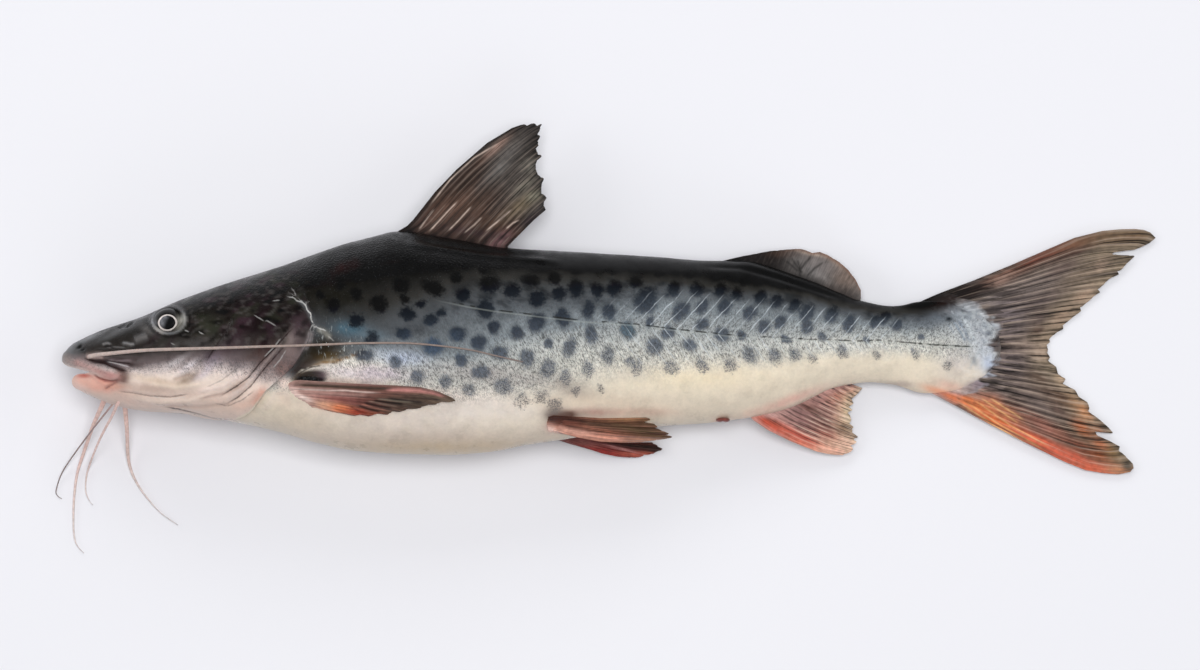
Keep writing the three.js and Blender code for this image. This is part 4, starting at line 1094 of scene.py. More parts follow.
# The milky clouding is painted brightest towards the upper left, partly as a painted reflection there
up_left = add(tree, "Math", {0: up, 1: 0.4}, operation="MULTIPLY")
up_left = add(tree, "Math", {0: up_left, 1: across}, operation="SUBTRACT")
milky_and_reflection = add(
    tree, "MapRange", {0: up_left, 1: -0.0006, 2: 0.0034, 3: 0.03, 4: 1.1}, interpolation_type="SMOOTHSTEP"
)
milky_and_reflection = add(tree, "Math", {0: milky_and_reflection, 1: haze}, operation="MULTIPLY")
pupil = add(tree, "Mix", {0: milky_and_reflection, 6: shade("#050506"), 7: shade("#8b8c92")}, data_type="RGBA")
wavy = add(tree, "Math", {0: haze, 1: 0.0004, 2: out_at}, operation="MULTIPLY_ADD")
ring = add(tree, "MapRange", {0: wavy, 1: PUPIL_RIM, 2: PUPIL_RIM + 0.0003}, interpolation_type="SMOOTHSTEP")
iris = add(tree, "Mix", {0: haze, 6: shade("#b3a9a4"), 7: shade("#f4ece8")}, data_type="RGBA")
colour = add(tree, "Mix", {0: ring, 6: pupil, 7: iris}, data_type="RGBA")
white = add(tree, "MapRange", {0: wavy, 1: IRIS_RIM, 2: IRIS_RIM + 0.00035}, interpolation_type="SMOOTHSTEP")
outside = add(tree, "Attribute", attribute_name="tone")
colour = add(tree, "Mix", {0: white, 6: colour, 7: outside}, data_type="RGBA")
dent = add(tree, "Bump", {"Height": haze, "Strength": 0.08, "Distance": 0.0003})
shader = add(
    tree,
    "BsdfPrincipled",
    {
        "Base Color": colour, "Roughness": 0.3, "IOR": 1.376, "Specular IOR Level": 0.25, "Normal": dent,
        "Coat Weight": 0.12, "Coat Roughness": 0.1,
    },
)
add(tree, "OutputMaterial", {"Surface": shader})

for name, side in (("left_eye", 1), ("right_eye", -1)):
    top = float(skin_height(SNOUT_X + EYE_AFT, EYE_UP + 1.4, side))
    centre = np.array([SNOUT_X + EYE_AFT, EYE_UP, top - side * (BALL - 1.3)]) / 1000
    bpy.ops.object.select_all(action="DESELECT")
    bpy.ops.mesh.primitive_uv_sphere_add(segments=64, ring_count=40, radius=BALL / 1000, location=(0, 0, 0))
    eye = bpy.context.object
    eye.name = name
    px, py, pz = coordinates(eye)
    out = np.hypot(px, py)
    swell = 0.5 * np.exp(-((out / 3.4) ** 2)) - 0.18 * np.exp(-(((out - 4.6) / 0.5) ** 2))
    stretch = 1 + swell * (pz * side > 0) / BALL
    shaped = np.stack([px, py, pz]) * stretch
    tilt = math.radians(-TURNED * side)
    c, s = math.cos(tilt), math.sin(tilt)
    shaped = np.stack([shaped[0], shaped[1] * c - shaped[2] * s, shaped[1] * s + shaped[2] * c])
    eye.data.vertices.foreach_set("co", (shaped.T / 1000 + centre).astype(np.float32).ravel())
    around = colour_of(0 * out, ["#1b1a18"] * 2)
    # Pale painted highlights of the wet rim to the left, below left and to the right of the iris, a dark brow above
    # it, and a grey patch below right
    for at_x, at_y, across, down, code in (
        (-7.8, -0.6, 1.8, 2.6, "#77777a"), (-5.0, -4.8, 3.0, 1.5, "#7d7a77"), (0.0, 7.0, 9.0, 2.6, "#0b0a0a"),
        (6.2, 1.2, 1.6, 3.4, "#8f8d86"), (4.6, -3.6, 2.4, 2.0, "#5d5a54"),
    ):
        wash(around, 0.9 * np.exp(-(((px - at_x) / across) ** 2) - (((py - at_y) / down) ** 2)), code)
    attribute(eye, "out", np.hypot(px, py * 1.13) / 1000)
    attribute(eye, "across", px / 1000)
    attribute(eye, "up", py / 1000)
    attribute(eye, "tone", around)
    bpy.ops.object.shade_smooth()
    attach(eye, "root")
    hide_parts("catfish")
    eye.data.materials.append(eyeball)


# --- Fins ---
# Thin webs of skin stretched over bony rays that branch towards a frayed edge. Each fan runs from its root in
# the body to its free edge, its first and last rays following their own outlines, and is given its thickness.
def evenly(line, share):
    """Points at shares of the way along a line of points."""
    line = np.array(line, float)
    run = np.concatenate([[0], np.cumsum(np.hypot(*np.diff(line, axis=0).T))])
    return np.array([np.interp(share * run[-1], run, line[:, i]) for i in (0, 1)])


TEETH = 40  # along a frayed edge
FRAYED = 0.02  # the share of a ray's length that a tooth can lack


def fan(root, free, front, rear, across, out, hold=2.5):
    """Rows of pixels from root to free edge. The front and rear outlines pull the nearest rays with them."""
    u, v = np.meshgrid(np.linspace(0, 1, across + 1), np.linspace(0, 1, out + 1), indexing="ij")
    from_, to = evenly(root, u), evenly(free, u)
    torn = np.maximum(mottle(u * TEETH, 0 * u, 1, 61) - 0.45, 0)
    torn += 0.6 * np.maximum(mottle(u * TEETH * 2.3, 0 * u, 1, 62) - 0.5, 0)
    inner = ease(u, 0, 0.06) * ease(u, 1, 0.94)
    sheet = from_ + (to - from_) * v * (1 - FRAYED * torn * inner)
    for line, near_it, end in ((front, 1 - u, 0), (rear, u, 1)):
        start, stop = evenly(root, np.array(float(end))), evenly(free, np.array(float(end)))
        straight = start[:, None, None] + (stop - start)[:, None, None] * v
        sheet = sheet + near_it**hold * (evenly([start, *line, stop], v) - straight)
    return sheet, u, v


def fin_places(piece):
    """Pixels of a fin's points, and their shares across its rays and out to its edge."""
    x, y, z = coordinates(piece)
    uv = np.empty(len(piece.data.loops) * 2, np.float32)
    piece.data.uv_layers["rays"].data.foreach_get("uv", uv)
    corner = np.empty(len(piece.data.loops), np.int32)
    piece.data.loops.foreach_get("vertex_index", corner)
    share = np.empty((len(x), 2))
    share[corner] = uv.reshape(-1, 2)
    return seen_at(x, y, z), share[:, 0], share[:, 1]


DEPTH_STEPS = 50
CLEAR = 0.35  # the least that a fin's underside stands over the table


def depth_at(thick, share):
    """A fin's thickness at a share of the way out. thick is given at the root, at the edge, and as what the
    flesh adds at the root."""
    return thick[0] + (thick[1] - thick[0]) * share**0.7 + thick[2] * np.exp(-share / 0.09)


def new_fin(name, sheet, u, v, height, thick, rays, ridge=0.12):
    """Makes a fin from its rows of pixels, its height over the table, its thickness and its rays' ridges."""
    x, y = place(sheet[0], sheet[1], MID_PLANE)
    z = height(u, v, x, y)
    x, y = place(sheet[0], sheet[1], z)
    depth = depth_at(thick, v)
    z = z + ridge * np.cos(2 * np.pi * rays * u) * (1 - 0.5 * v)
    z = np.maximum(z, depth / 2 + CLEAR)
    piece = new_grid(name, np.stack([x, y, z]))
    piece.data.uv_layers.active.name = "rays"
    edit((bpy.ops.mesh.normals_make_consistent, {"inside": False}))
    group = piece.vertex_groups.new(name="depth")
    _, _, out = fin_places(piece)
    for step in range(DEPTH_STEPS + 1):
        chosen = np.nonzero(np.rint(out * DEPTH_STEPS) == step)[0]
        depth = depth_at(thick, step / DEPTH_STEPS)
        group.add([int(i) for i in chosen], depth / (thick[0] + thick[2]), "REPLACE")
    bpy.context.view_layer.objects.active = piece
    wall = piece.modifiers.new("thickness", "SOLIDIFY")
    wall.thickness, wall.offset, wall.vertex_group = (thick[0] + thick[2]) / 1000, 0, "depth"
    bpy.ops.object.modifier_apply(modifier="thickness")
    piece.vertex_groups.clear()
    bpy.ops.object.shade_smooth_by_angle(angle=math.radians(50))
    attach(piece, "root")
    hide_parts("catfish")
    return piece


def fin_colour(piece, base, washes):
    """Paints a fin: its base colour from root to edge, then patches of colour."""
    at, u, v = fin_places(piece)
    colour = colour_of(v * (len(base) - 1), base)
    broken = 0.7 + 0.6 * rough_mottle(at[0], at[1], 8, 31)
    for px, py, across, down, lean, code, strength in washes:
        wash(colour, 1.25 * strength * broken * patch(at, px, py, across, down, lean), code)
    return at, u, v, colour


def fin_skin(name, rays, dark, pale, height=0.5):
    """Thin wet web over bony rays: each ray is a pale line between dark edges, and it forks on its way out.
    rays is how many leave the root, dark and pale are the edges' and the cores' colours, and height is how
    strongly they stand out."""
    made, tree = new_material(name)
    uv = add(tree, "UVMap", uv_map="rays")
    across = add(tree, "SeparateXYZ", {0: uv})
    space = add(tree, "TexCoord").outputs["Object"]
    grain = add(tree, "TexNoise", {"Vector": space, "Scale": 340, "Detail": 4})
    streak = add(tree, "Mapping", {"Vector": uv, "Scale": (rays * 9.0, 3.0, 1)})
    streak = add(tree, "TexNoise", {"Vector": streak, "Scale": 1.0, "Detail": 3})
    sway = add(tree, "Math", {0: streak, 1: 0.22 / rays, 2: across.outputs[0]}, operation="MULTIPLY_ADD")
    for fork, start, end in ((1, 0, 0), (2, 0.2, 0.45), (3, 0.6, 0.85)):  # where each ray becomes so many
        wave = add(tree, "Math", {0: sway, 1: float(rays * fork)}, operation="MULTIPLY")
        for operation in ("FRACT", "SUBTRACT", "ABSOLUTE"):  # how far it is from half way
            wave = add(tree, "Math", {0: wave, 1: 0.5}, operation=operation)
        if fork > 1:
            show = add(tree, "MapRange", {0: across.outputs[1], 1: start, 2: end}, interpolation_type="SMOOTHSTEP")
            wave = add(tree, "Mix", {0: show, 2: lines, 3: wave}, data_type="FLOAT")
        lines = wave
    edges = add(tree, "MapRange", {0: lines, 1: 0.28, 2: 0.47}, interpolation_type="SMOOTHSTEP")
    cores = add(tree, "MapRange", {0: lines, 1: 0.2, 2: 0.04}, interpolation_type="SMOOTHSTEP")
    worn = add(tree, "MapRange", {0: streak, 1: 0.35, 2: 0.62, 3: 0.15, 4: 1.0}, interpolation_type="SMOOTHSTEP")
    # Broken streaks that run along the rays, some dark and some pale
    drawn_out = add(tree, "Mapping", {"Vector": uv, "Scale": (rays * 3.4, 1.5, 1)})
    drawn_out = add(tree, "TexNoise", {"Vector": drawn_out, "Scale": 1.0, "Detail": 4, "Roughness": 0.65})
    bold = add(tree, "MapRange", {0: drawn_out, 1: 0.52, 2: 0.66, 3: 0.0, 4: 0.9}, interpolation_type="SMOOTHSTEP")
    bright = add(tree, "MapRange", {0: drawn_out, 1: 0.45, 2: 0.32, 3: 0.0, 4: 0.9}, interpolation_type="SMOOTHSTEP")
    edges = add(tree, "Math", {0: edges, 1: worn}, operation="MULTIPLY")
    edges = add(tree, "Math", {0: edges, 1: bold}, operation="MAXIMUM")
    cores = add(tree, "Math", {0: cores, 1: bright}, operation="MAXIMUM")
    dark_share = add(tree, "Attribute", attribute_name="ray_dark").outputs["Fac"]
    pale_share = add(tree, "Attribute", attribute_name="ray_pale").outputs["Fac"]
    edges = add(tree, "Math", {0: edges, 1: dark_share}, operation="MULTIPLY")
    cores = add(tree, "Math", {0: cores, 1: worn}, operation="MULTIPLY")
    cores = add(tree, "Math", {0: cores, 1: pale_share}, operation="MULTIPLY")
    light = add(tree, "Math", {0: grain, 1: 0.9, 2: 0.55}, operation="MULTIPLY_ADD")
    light = add(tree, "Math", {0: streak, 1: 1.3, 2: light}, operation="MULTIPLY_ADD")
    light = add(tree, "Math", {0: light, 1: -0.68}, operation="ADD")
    tone = add(tree, "Attribute", attribute_name="tone")
    colour = add(tree, "VectorMath", {0: tone, "Scale": light}, operation="SCALE")
    colour = add(tree, "Mix", {0: edges, 6: colour, 7: shade(dark)}, data_type="RGBA")
    colour = add(tree, "Mix", {0: cores, 6: colour, 7: shade(pale)}, data_type="RGBA")
    ridge = add(tree, "Math", {0: lines, 1: -1.6}, operation="MULTIPLY")
    ridge = add(tree, "Math", {0: grain, 1: 0.5, 2: ridge}, operation="MULTIPLY_ADD")
    bump = add(tree, "Bump", {"Height": ridge, "Strength": height, "Distance": 0.0005})
    wet = add(tree, "MapRange", {0: grain, 1: 0.3, 2: 0.7, 3: 0.32, 4: 0.5}, interpolation_type="SMOOTHSTEP")
    shader = add(
        tree,
        "BsdfPrincipled",
        {
            "Base Color": colour, "Roughness": wet, "IOR": 1.4, "Normal": bump,
            "Coat Weight": 0.15, "Coat Roughness": 0.2,
        },
    )
    add(tree, "OutputMaterial", {"Surface": shader})
    return made


def finish_fin(piece, colour, dark, pale, web):
    """Gives a fin its colours, how strong its rays' edges and cores are, and its material."""
    attribute(piece, "tone", colour)
    attribute(piece, "ray_dark", dark)
    attribute(piece, "ray_pale", pale)
    piece.data.materials.append(web)


# Back fin: nine rays, black-brown with a rosy web near its root, tilted a little towards the table
sheet, u, v = fan(
    root=[(392, 238), (424, 240), (456, 245), (484, 250), (508, 253)],
    free=[
        (521, 125), (525, 124), (530, 125.5), (534, 123), (537, 125.5), (542.5, 123.5), (539.5, 130), (538, 133.5),
        (540.5, 136), (538, 141), (538.5, 145), (536, 148), (537.5, 152), (541.5, 156), (537.5, 159.5), (535.5, 164),
        (536, 169), (537.5, 173), (544, 179), (541.5, 184), (541, 189), (541.5, 193), (546.5, 197.5), (544, 201),
        (543.5, 205), (545.5, 210),
    ],
    front=[
        (394, 233.5), (401, 229.5), (407, 226), (413, 220), (435, 192), (456, 170), (487, 143), (502, 134),
        (512, 128),
    ],
    rear=[(508, 246), (522, 232), (534, 220)],
    across=190, out=110,
)
back_fin = new_fin(
    "back_fin", sheet, u, v,
    height=lambda u, v, x, y: 38 - 9 * v * v - 2 * v * np.sin(5 * u),
    thick=(2.6, 0.7, 2.5), rays=9, ridge=0.25,
)
at, u, v, colour = fin_colour(
    back_fin,
    ["#211815", "#40302a", "#463329", "#42332c", "#46403c", "#4b4541", "#2c2826"],
    [
        (424, 222, 14, 7, -50, "#4f3a33", 0.6), (442, 214, 18, 8, -45, "#6c5246", 0.7),
        (462, 198, 16, 6, -45, "#6a5145", 0.6), (470, 220, 20, 6, -40, "#58443c", 0.5),
        (500, 240, 12, 6, -35, "#7a5a5c", 0.8), (458, 178, 22, 5, -48, "#3f302b", 0.8),
        (482, 160, 18, 4, -46, "#453229", 0.8), (464, 182, 24, 7, -48, "#33261f", 0.7),
        (498, 146, 14, 3.6, -43, "#9c8074", 0.9), (486, 180, 20, 4, -46, "#3a302c", 0.8),
        (500, 168, 20, 6, -46, "#63605d", 0.7), (512, 150, 18, 6, -42, "#5d5855", 0.7),
        (506, 198, 22, 5, -42, "#4a3f3a", 0.7), (524, 186, 14, 5, -40, "#6f6a60", 0.8),
        (520, 206, 18, 7, -36, "#716350", 0.7), (534, 196, 8, 5, -30, "#83806f", 0.6),
        (530, 166, 8, 8, 0, "#716d64", 0.6), (532, 130, 12, 5, 0, "#3a3634", 0.8),
        (402, 233, 14, 10, 0, "#131111", 1.0), (530, 220, 14, 4, -38, "#2a2124", 0.9),
        (478, 233, 40, 4, 10, "#3a2a2a", 0.7),
    ],
)
front_edge = np.exp(-((u / 0.05) ** 2))
wash(colour, 0.85 * front_edge, "#1f1816")
wash(colour, 0.9 * ease(v, 0.07, 0.0), "#141010")
wash(colour, 0.6 * ease(v, 0.94, 1.0), "#1d1b1a")
# Six bare rays stand out pale over the root, and one further out
for line in (
    [(419, 230), (425, 221), (434, 209)], [(429, 232), (437, 223), (448, 211), (458, 201)],
    [(448, 231), (459, 220), (472, 206)],
    [(464, 233), (474, 225), (482, 217)], [(486, 231), (497, 222), (512, 209)], [(506, 229), (513, 223), (520, 220)],
    [(430, 205), (450, 180), (474, 158), (500, 142)],
):
    wash(colour, 0.85 * stroke(at, line, 0.75), "#c5b1a4")
finish_fin(
    back_fin, colour, 0.9 * (1 - 0.6 * front_edge), 0.32 * ease(v, 0.04, 0.16) * (1 - front_edge),
    fin_skin("back_fin_web", 9, "#0a0706", "#97877c"),
)

# Fatty fin: a soft lobe with no rays, thick at its root and translucent at its rim
sheet, u, v = fan(
    root=[(716, 268), (760, 278), (800, 292), (830, 303), (858, 306)],
    free=[
        (722, 261.5), (733, 258.5), (745, 255.8), (770, 251), (799, 248.6), (806, 250.5), (812, 253), (820, 252),
        (829, 255.5), (839, 262), (848, 270), (855, 279), (860.5, 290), (860, 299),
    ],
    front=[(720, 264)], rear=[(859, 302)], across=170, out=60, hold=3,
)
fatty_fin = new_fin(
    "fatty_fin", sheet, u, v,
    height=lambda u, v, x, y: middle(x - SNOUT_X) + 0.5 - 1.5 * v,
    thick=(4.4, 1.2, 3.0), rays=5, ridge=0.0,
)
at, u, v, colour = fin_colour(
    fatty_fin,
    ["#0f0f0f", "#211f1f", "#4c4846", "#5d5754", "#6d625c"],
    [
        (745, 262, 34, 14, -8, "#0f0e0e", 1.0), (768, 262, 22, 14, 0, "#1a1615", 1.0),
        (780, 253, 22, 4, -6, "#453227", 0.9), (794, 254, 14, 4, 6, "#44352f", 0.9),
        (752, 256, 28, 8, 2, "#1c1716", 0.95), (730, 262, 24, 8, 6, "#0e0d0d", 0.95),
        (722, 259, 14, 8, 0, "#0c0c0c", 0.95), (812, 270, 14, 6, 20, "#6f6b6a", 0.7),
        (826, 278, 12, 5, 30, "#76716f", 0.7), (812, 254, 12, 2, 12, "#b8a493", 0.8),
        (836, 262, 14, 3, 38, "#a08876", 0.6), (820, 262, 24, 8, 20, "#7d7674", 0.6),
        (846, 278, 14, 14, 50, "#77665c", 0.6), (798, 262, 10, 8, 0, "#5d5957", 0.6),
        (845, 295, 18, 7, 30, "#3a3432", 0.7),
    ],
)
wash(colour, 0.8 * ease(v, 0.9, 1.0) * ease(at[0], 770, 820), "#7a5b4c")
wash(colour, 0.7 * ease(v, 0.93, 1.0) * ease(at[0], 800, 760), "#2a2422")
for line in (
    [(800, 278), (800, 268), (797, 259)], [(800, 270), (806, 262), (811, 257)], [(799, 272), (790, 264), (785, 260)],
    [(806, 277), (815, 268), (824, 262)], [(803, 274), (796, 265), (791, 257)],
    [(740, 266), (780, 272), (815, 284), (848, 298)],
):
    wash(colour, 0.65 * stroke(at, line, 1.2), "#141312")
finish_fin(
    fatty_fin, colour, 0.1 * ease(v, 0.2, 0.6), 0.08 * ease(v, 0.3, 0.7),
    fin_skin("fatty_fin_flesh", 11, "#1a1716", "#8f857e", height=0.25),
)

# Tail fin: two long lobes of forking rays that fan out from the flesh. The upper lobe is brown with a russet
# edge, the lower one dark over a bright orange edge, and both are torn in places.
sheet, u, v = fan(
    root=[(905, 316), (930, 309), (948, 311), (958, 322), (963, 345), (959, 366), (948, 380), (930, 385), (908, 378)],
    free=[
        (1150, 232.5), (1156, 237.6), (1150, 243), (1142, 247), (1137, 249), (1114, 252.3), (1112, 254), (1116, 255),
        (1136, 255.5), (1130, 262), (1121, 270), (1117, 271), (1119, 274), (1110, 279), (1100, 288), (1098, 289),
        (1101, 292), (1090, 300), (1083, 306), (1080, 307), (1081, 311), (1072, 318), (1065, 324), (1063, 325),
        (1064, 329), (1056, 333), (1052, 336), (1049, 339), (1050, 342), (1046.5, 345), (1048, 349), (1047, 353),
        (1050, 357), (1048, 361), (1056, 367), (1058, 374), (1066, 379), (1063, 384), (1076, 390), (1080, 397),
        (1087, 402), (1090, 408), (1088, 411), (1100, 420), (1108, 427), (1113, 433), (1098, 430.5), (1095, 432),
        (1098, 436), (1110, 441), (1121, 447), (1120, 451), (1127, 457), (1133, 464), (1133.5, 468), (1130, 472),
    ],
    front=[
        (912, 306), (925, 299.5), (940, 293), (972, 281), (1009, 266), (1046, 250), (1074, 238), (1102, 231),
        (1120, 229.3), (1135, 229), (1144, 230),
    ],
    rear=[
        (916, 384), (935, 395), (954, 405), (991, 425), (1028, 444), (1065, 462), (1085, 470), (1102, 473),
        (1118, 474.3),
    ],
    across=430, out=110, hold=7,
)
tail_fin = new_fin(
    "tail_fin", sheet, u, v,
    height=lambda u, v, x, y: 5 - 3.2 * v + 1.6 * np.exp(-v / 0.12) + 0.9 * v * np.sin(9 * u),
    thick=(3.0, 0.7, 3.0), rays=17, ridge=0.3,
)
at, u, v, colour = fin_colour(
    tail_fin,
    ["#8b8688", "#7c7371", "#6f6460", "#6a5c55", "#6c5e54", "#7a6c5c", "#8a7a66"],
    [
        (960, 296, 40, 9, -22, "#2a201d", 0.95), (1012, 271, 34, 6, -24, "#6a4a3d", 0.9),
        (1050, 253, 32, 5, -24, "#6d4034", 0.95), (1080, 243, 26, 5, -20, "#74513f", 0.9),
        (1075, 252, 30, 4, -24, "#4f382f", 0.8), (1115, 238, 30, 7, -6, "#77614c", 0.8),
        (1135, 236, 18, 5, 0, "#715a44", 0.7), (1040, 285, 30, 10, -32, "#786c68", 0.7),
        (1044, 300, 26, 6, -26, "#584c4b", 0.7), (1085, 274, 26, 10, -32, "#7a6a5c", 0.7),
        (1105, 262, 18, 8, -30, "#8b7a68", 0.8), (1084, 296, 14, 7, -40, "#a98f7a", 0.8),
        (1060, 318, 14, 7, -40, "#a68d78", 0.8), (1042, 338, 12, 8, -20, "#9d8873", 0.8),
        (1040, 352, 12, 8, 20, "#a58f7c", 0.8), (1010, 318, 18, 20, 0, "#756a6c", 0.6),
        (1012, 362, 16, 18, 0, "#6b6063", 0.6), (1025, 345, 18, 8, 0, "#7f6f64", 0.5),
        (1000, 408, 26, 8, 33, "#b56f4f", 0.9), (972, 404, 22, 7, 28, "#dc8052", 0.95),
        (1000, 421, 26, 5, 29, "#d87648", 0.95), (1036, 440, 30, 6, 27, "#cf6144", 0.95),
        (1068, 456, 26, 7, 20, "#cd6047", 0.95), (1096, 468, 22, 5, 10, "#d8674a", 0.9),
        (1120, 470, 14, 4, 4, "#c88a64", 0.8), (1045, 425, 30, 6, 32, "#8c5646", 0.8),
        (1078, 446, 26, 6, 30, "#83503f", 0.8), (1100, 455, 16, 6, 26, "#96502f", 0.7),
        (1082, 428, 12, 6, 42, "#b0623a", 0.9), (1072, 402, 10, 7, 48, "#a58060", 0.7),
        (1085, 412, 9, 6, 48, "#c98f66", 0.9), (1062, 380, 8, 6, 48, "#b3997f", 0.8),
        (1100, 432, 8, 6, 45, "#a5694b", 0.7), (1112, 452, 9, 6, 40, "#8e7049", 0.7),
        (1035, 402, 30, 10, 40, "#6a5c58", 0.6), (1050, 395, 20, 7, 40, "#5c4a42", 0.6),
        (1104, 428, 6, 5, 45, "#4c4238", 0.6), (1128, 466, 6, 6, 0, "#4a4238", 0.8),
        (1002, 280, 14, 5, -24, "#9a7d70", 0.7), (1062, 268, 20, 6, -30, "#5c4c47", 0.7),
        (1100, 266, 9, 5, -40, "#a58d7b", 0.7), (1040, 318, 9, 6, -35, "#5d4e4a", 0.7),
        (1038, 330, 8, 4, -15, "#5f4d43", 0.8), (1022, 347, 10, 4, 0, "#85736a", 0.6),
        (1040, 379, 14, 6, 30, "#57463b", 0.8), (1062, 398, 12, 6, 42, "#5f493b", 0.8),
        (1060, 412, 12, 6, 40, "#604b44", 0.6), (1042, 426, 16, 5, 30, "#a06c5e", 0.7),
        (1060, 431, 10, 4, 30, "#8b5f50", 0.6), (1100, 444, 9, 5, 35, "#b9714e", 0.8),
        (992, 420, 16, 4, 28, "#d06a3c", 0.8), (1088, 302, 8, 4, -45, "#b09a86", 0.6),
    ],
)
flesh = flesh_share(at)
wash(colour, 0.9 * flesh * ease(at[1], 296, 306) * ease(at[1], 402, 392), "#a7abb0")
wash(colour, 0.9 * patch(at, 950, 296, 36, 10, -22) + 0.9 * patch(at, 930, 300, 26, 10, -15), "#1b1614")
orange = patch(at, 1000, 415, 34, 10, 31) + patch(at, 1040, 438, 40, 8, 28) + patch(at, 1090, 464, 40, 8, 15)
orange = np.clip(orange, 0, 1)
near_root = ease(at[0], 1045, 1000) * (1 - flesh) * ease(orange, 0.5, 0.1) * ease(at[1] - 0.5 * at[0], -84, -92)
wash(colour, 0.6 * near_root * (mottle(0.1 * at[0], at[1], 2.6, 53) > 0.5), "#1d1513")
wash(colour, 0.45 * ease(v, 0.96, 1.0) * (mottle(u * 50, v * 3, 1, 4) > 0.5), "#2e2a25")
tail_root(colour, at, flesh)
for line in (
    [(958, 402), (992, 424), (1030, 446)], [(965, 401), (1000, 425), (1045, 450)],
    [(973, 399), (1010, 425), (1050, 447)],
    [(981, 398), (1018, 423)], [(990, 398), (1024, 420)],
):
    wash(colour, 0.6 * stroke(at, line, 0.8), "#edbd80")
finish_fin(
    tail_fin, colour, (0.95 - 0.6 * orange) * (1 - 0.93 * flesh), (0.4 - 0.1 * orange) * (1 - flesh),
    fin_skin("tail_fin_web", 15, "#0c0807", "#c2ae9d"),
)

# Anal fin: a short fan of salmon web with purple-brown rays and a bright orange edge
sheet, u, v = fan(
    root=[(746, 412), (770, 406), (795, 398), (820, 388), (840, 378)],
    free=[
        (838, 454.5), (844, 455), (850, 452), (854, 449), (851, 446), (857, 442), (853, 440), (858, 437), (852, 433),
        (853, 427), (849, 424), (851, 420), (850, 416), (847, 413), (852, 410), (848, 407), (853, 403.5), (851, 399),
        (858, 393), (862, 388),
    ],
    front=[(753, 420), (768, 430), (791, 441), (816, 451), (828, 453.5)],
    rear=[(850, 384)],
    across=170, out=90, hold=3,
)
anal_fin = new_fin(
    "anal_fin", sheet, u, v,
    height=lambda u, v, x, y: middle(x - SNOUT_X) + (5 - middle(x - SNOUT_X)) * v**1.4,
    thick=(2.2, 0.7, 2.0), rays=10, ridge=0.22,
)
at, u, v, colour = fin_colour(
    anal_fin,
    ["#dba99c", "#c09289", "#ab8078", "#b78a7c", "#cda78f", "#dcc3a6"],
    [
        (778, 427, 24, 5, 28, "#d9705a", 0.95), (806, 443, 22, 5, 22, "#dd7a62", 0.9),
        (832, 450, 18, 5, 8, "#eeb49c", 0.95), (846, 444, 10, 7, 10, "#f0c4ac", 0.9),
        (840, 396, 14, 6, -20, "#d08c78", 0.7), (850, 400, 8, 8, 0, "#dcb898", 0.8),
        (800, 410, 26, 8, 12, "#9f7a76", 0.7), (812, 424, 20, 7, 22, "#8f6764", 0.7),
        (775, 413, 18, 4, -15, "#c39a92", 0.7), (850, 414, 7, 12, 0, "#e0caaa", 0.8),
        (826, 434, 14, 5, 22, "#b8705f", 0.6), (812, 409, 14, 6, 20, "#7d544a", 0.7),
        (822, 425, 14, 5, 24, "#7a5148", 0.7), (843, 428, 8, 6, 25, "#86694f", 0.6),
        (770, 424, 14, 3.4, 30, "#c25742", 0.9), (800, 436, 18, 4, 24, "#c25e4e", 0.8),
    ],
)
wash(colour, 0.8 * ease(v, 0.07, 0.02), "#e6b3a4")
wash(colour, 0.5 * ease(v, 0.95, 1.0) * (at[1] < 446) * (mottle(u * 34, v, 1, 9) > 0.45), "#4f3f33")
front_web = np.clip(patch(at, 790, 437, 36, 5, 26) + patch(at, 832, 451, 24, 5, 5), 0, 1)
finish_fin(
    anal_fin, colour, 0.95 * ease(v, 0.06, 0.2) * (1 - 0.7 * front_web),
    0.5 * ease(v, 0.15, 0.5) * (1 - 0.6 * front_web), fin_skin("anal_fin_web", 8, "#2a1815", "#f6dcc6"),
)

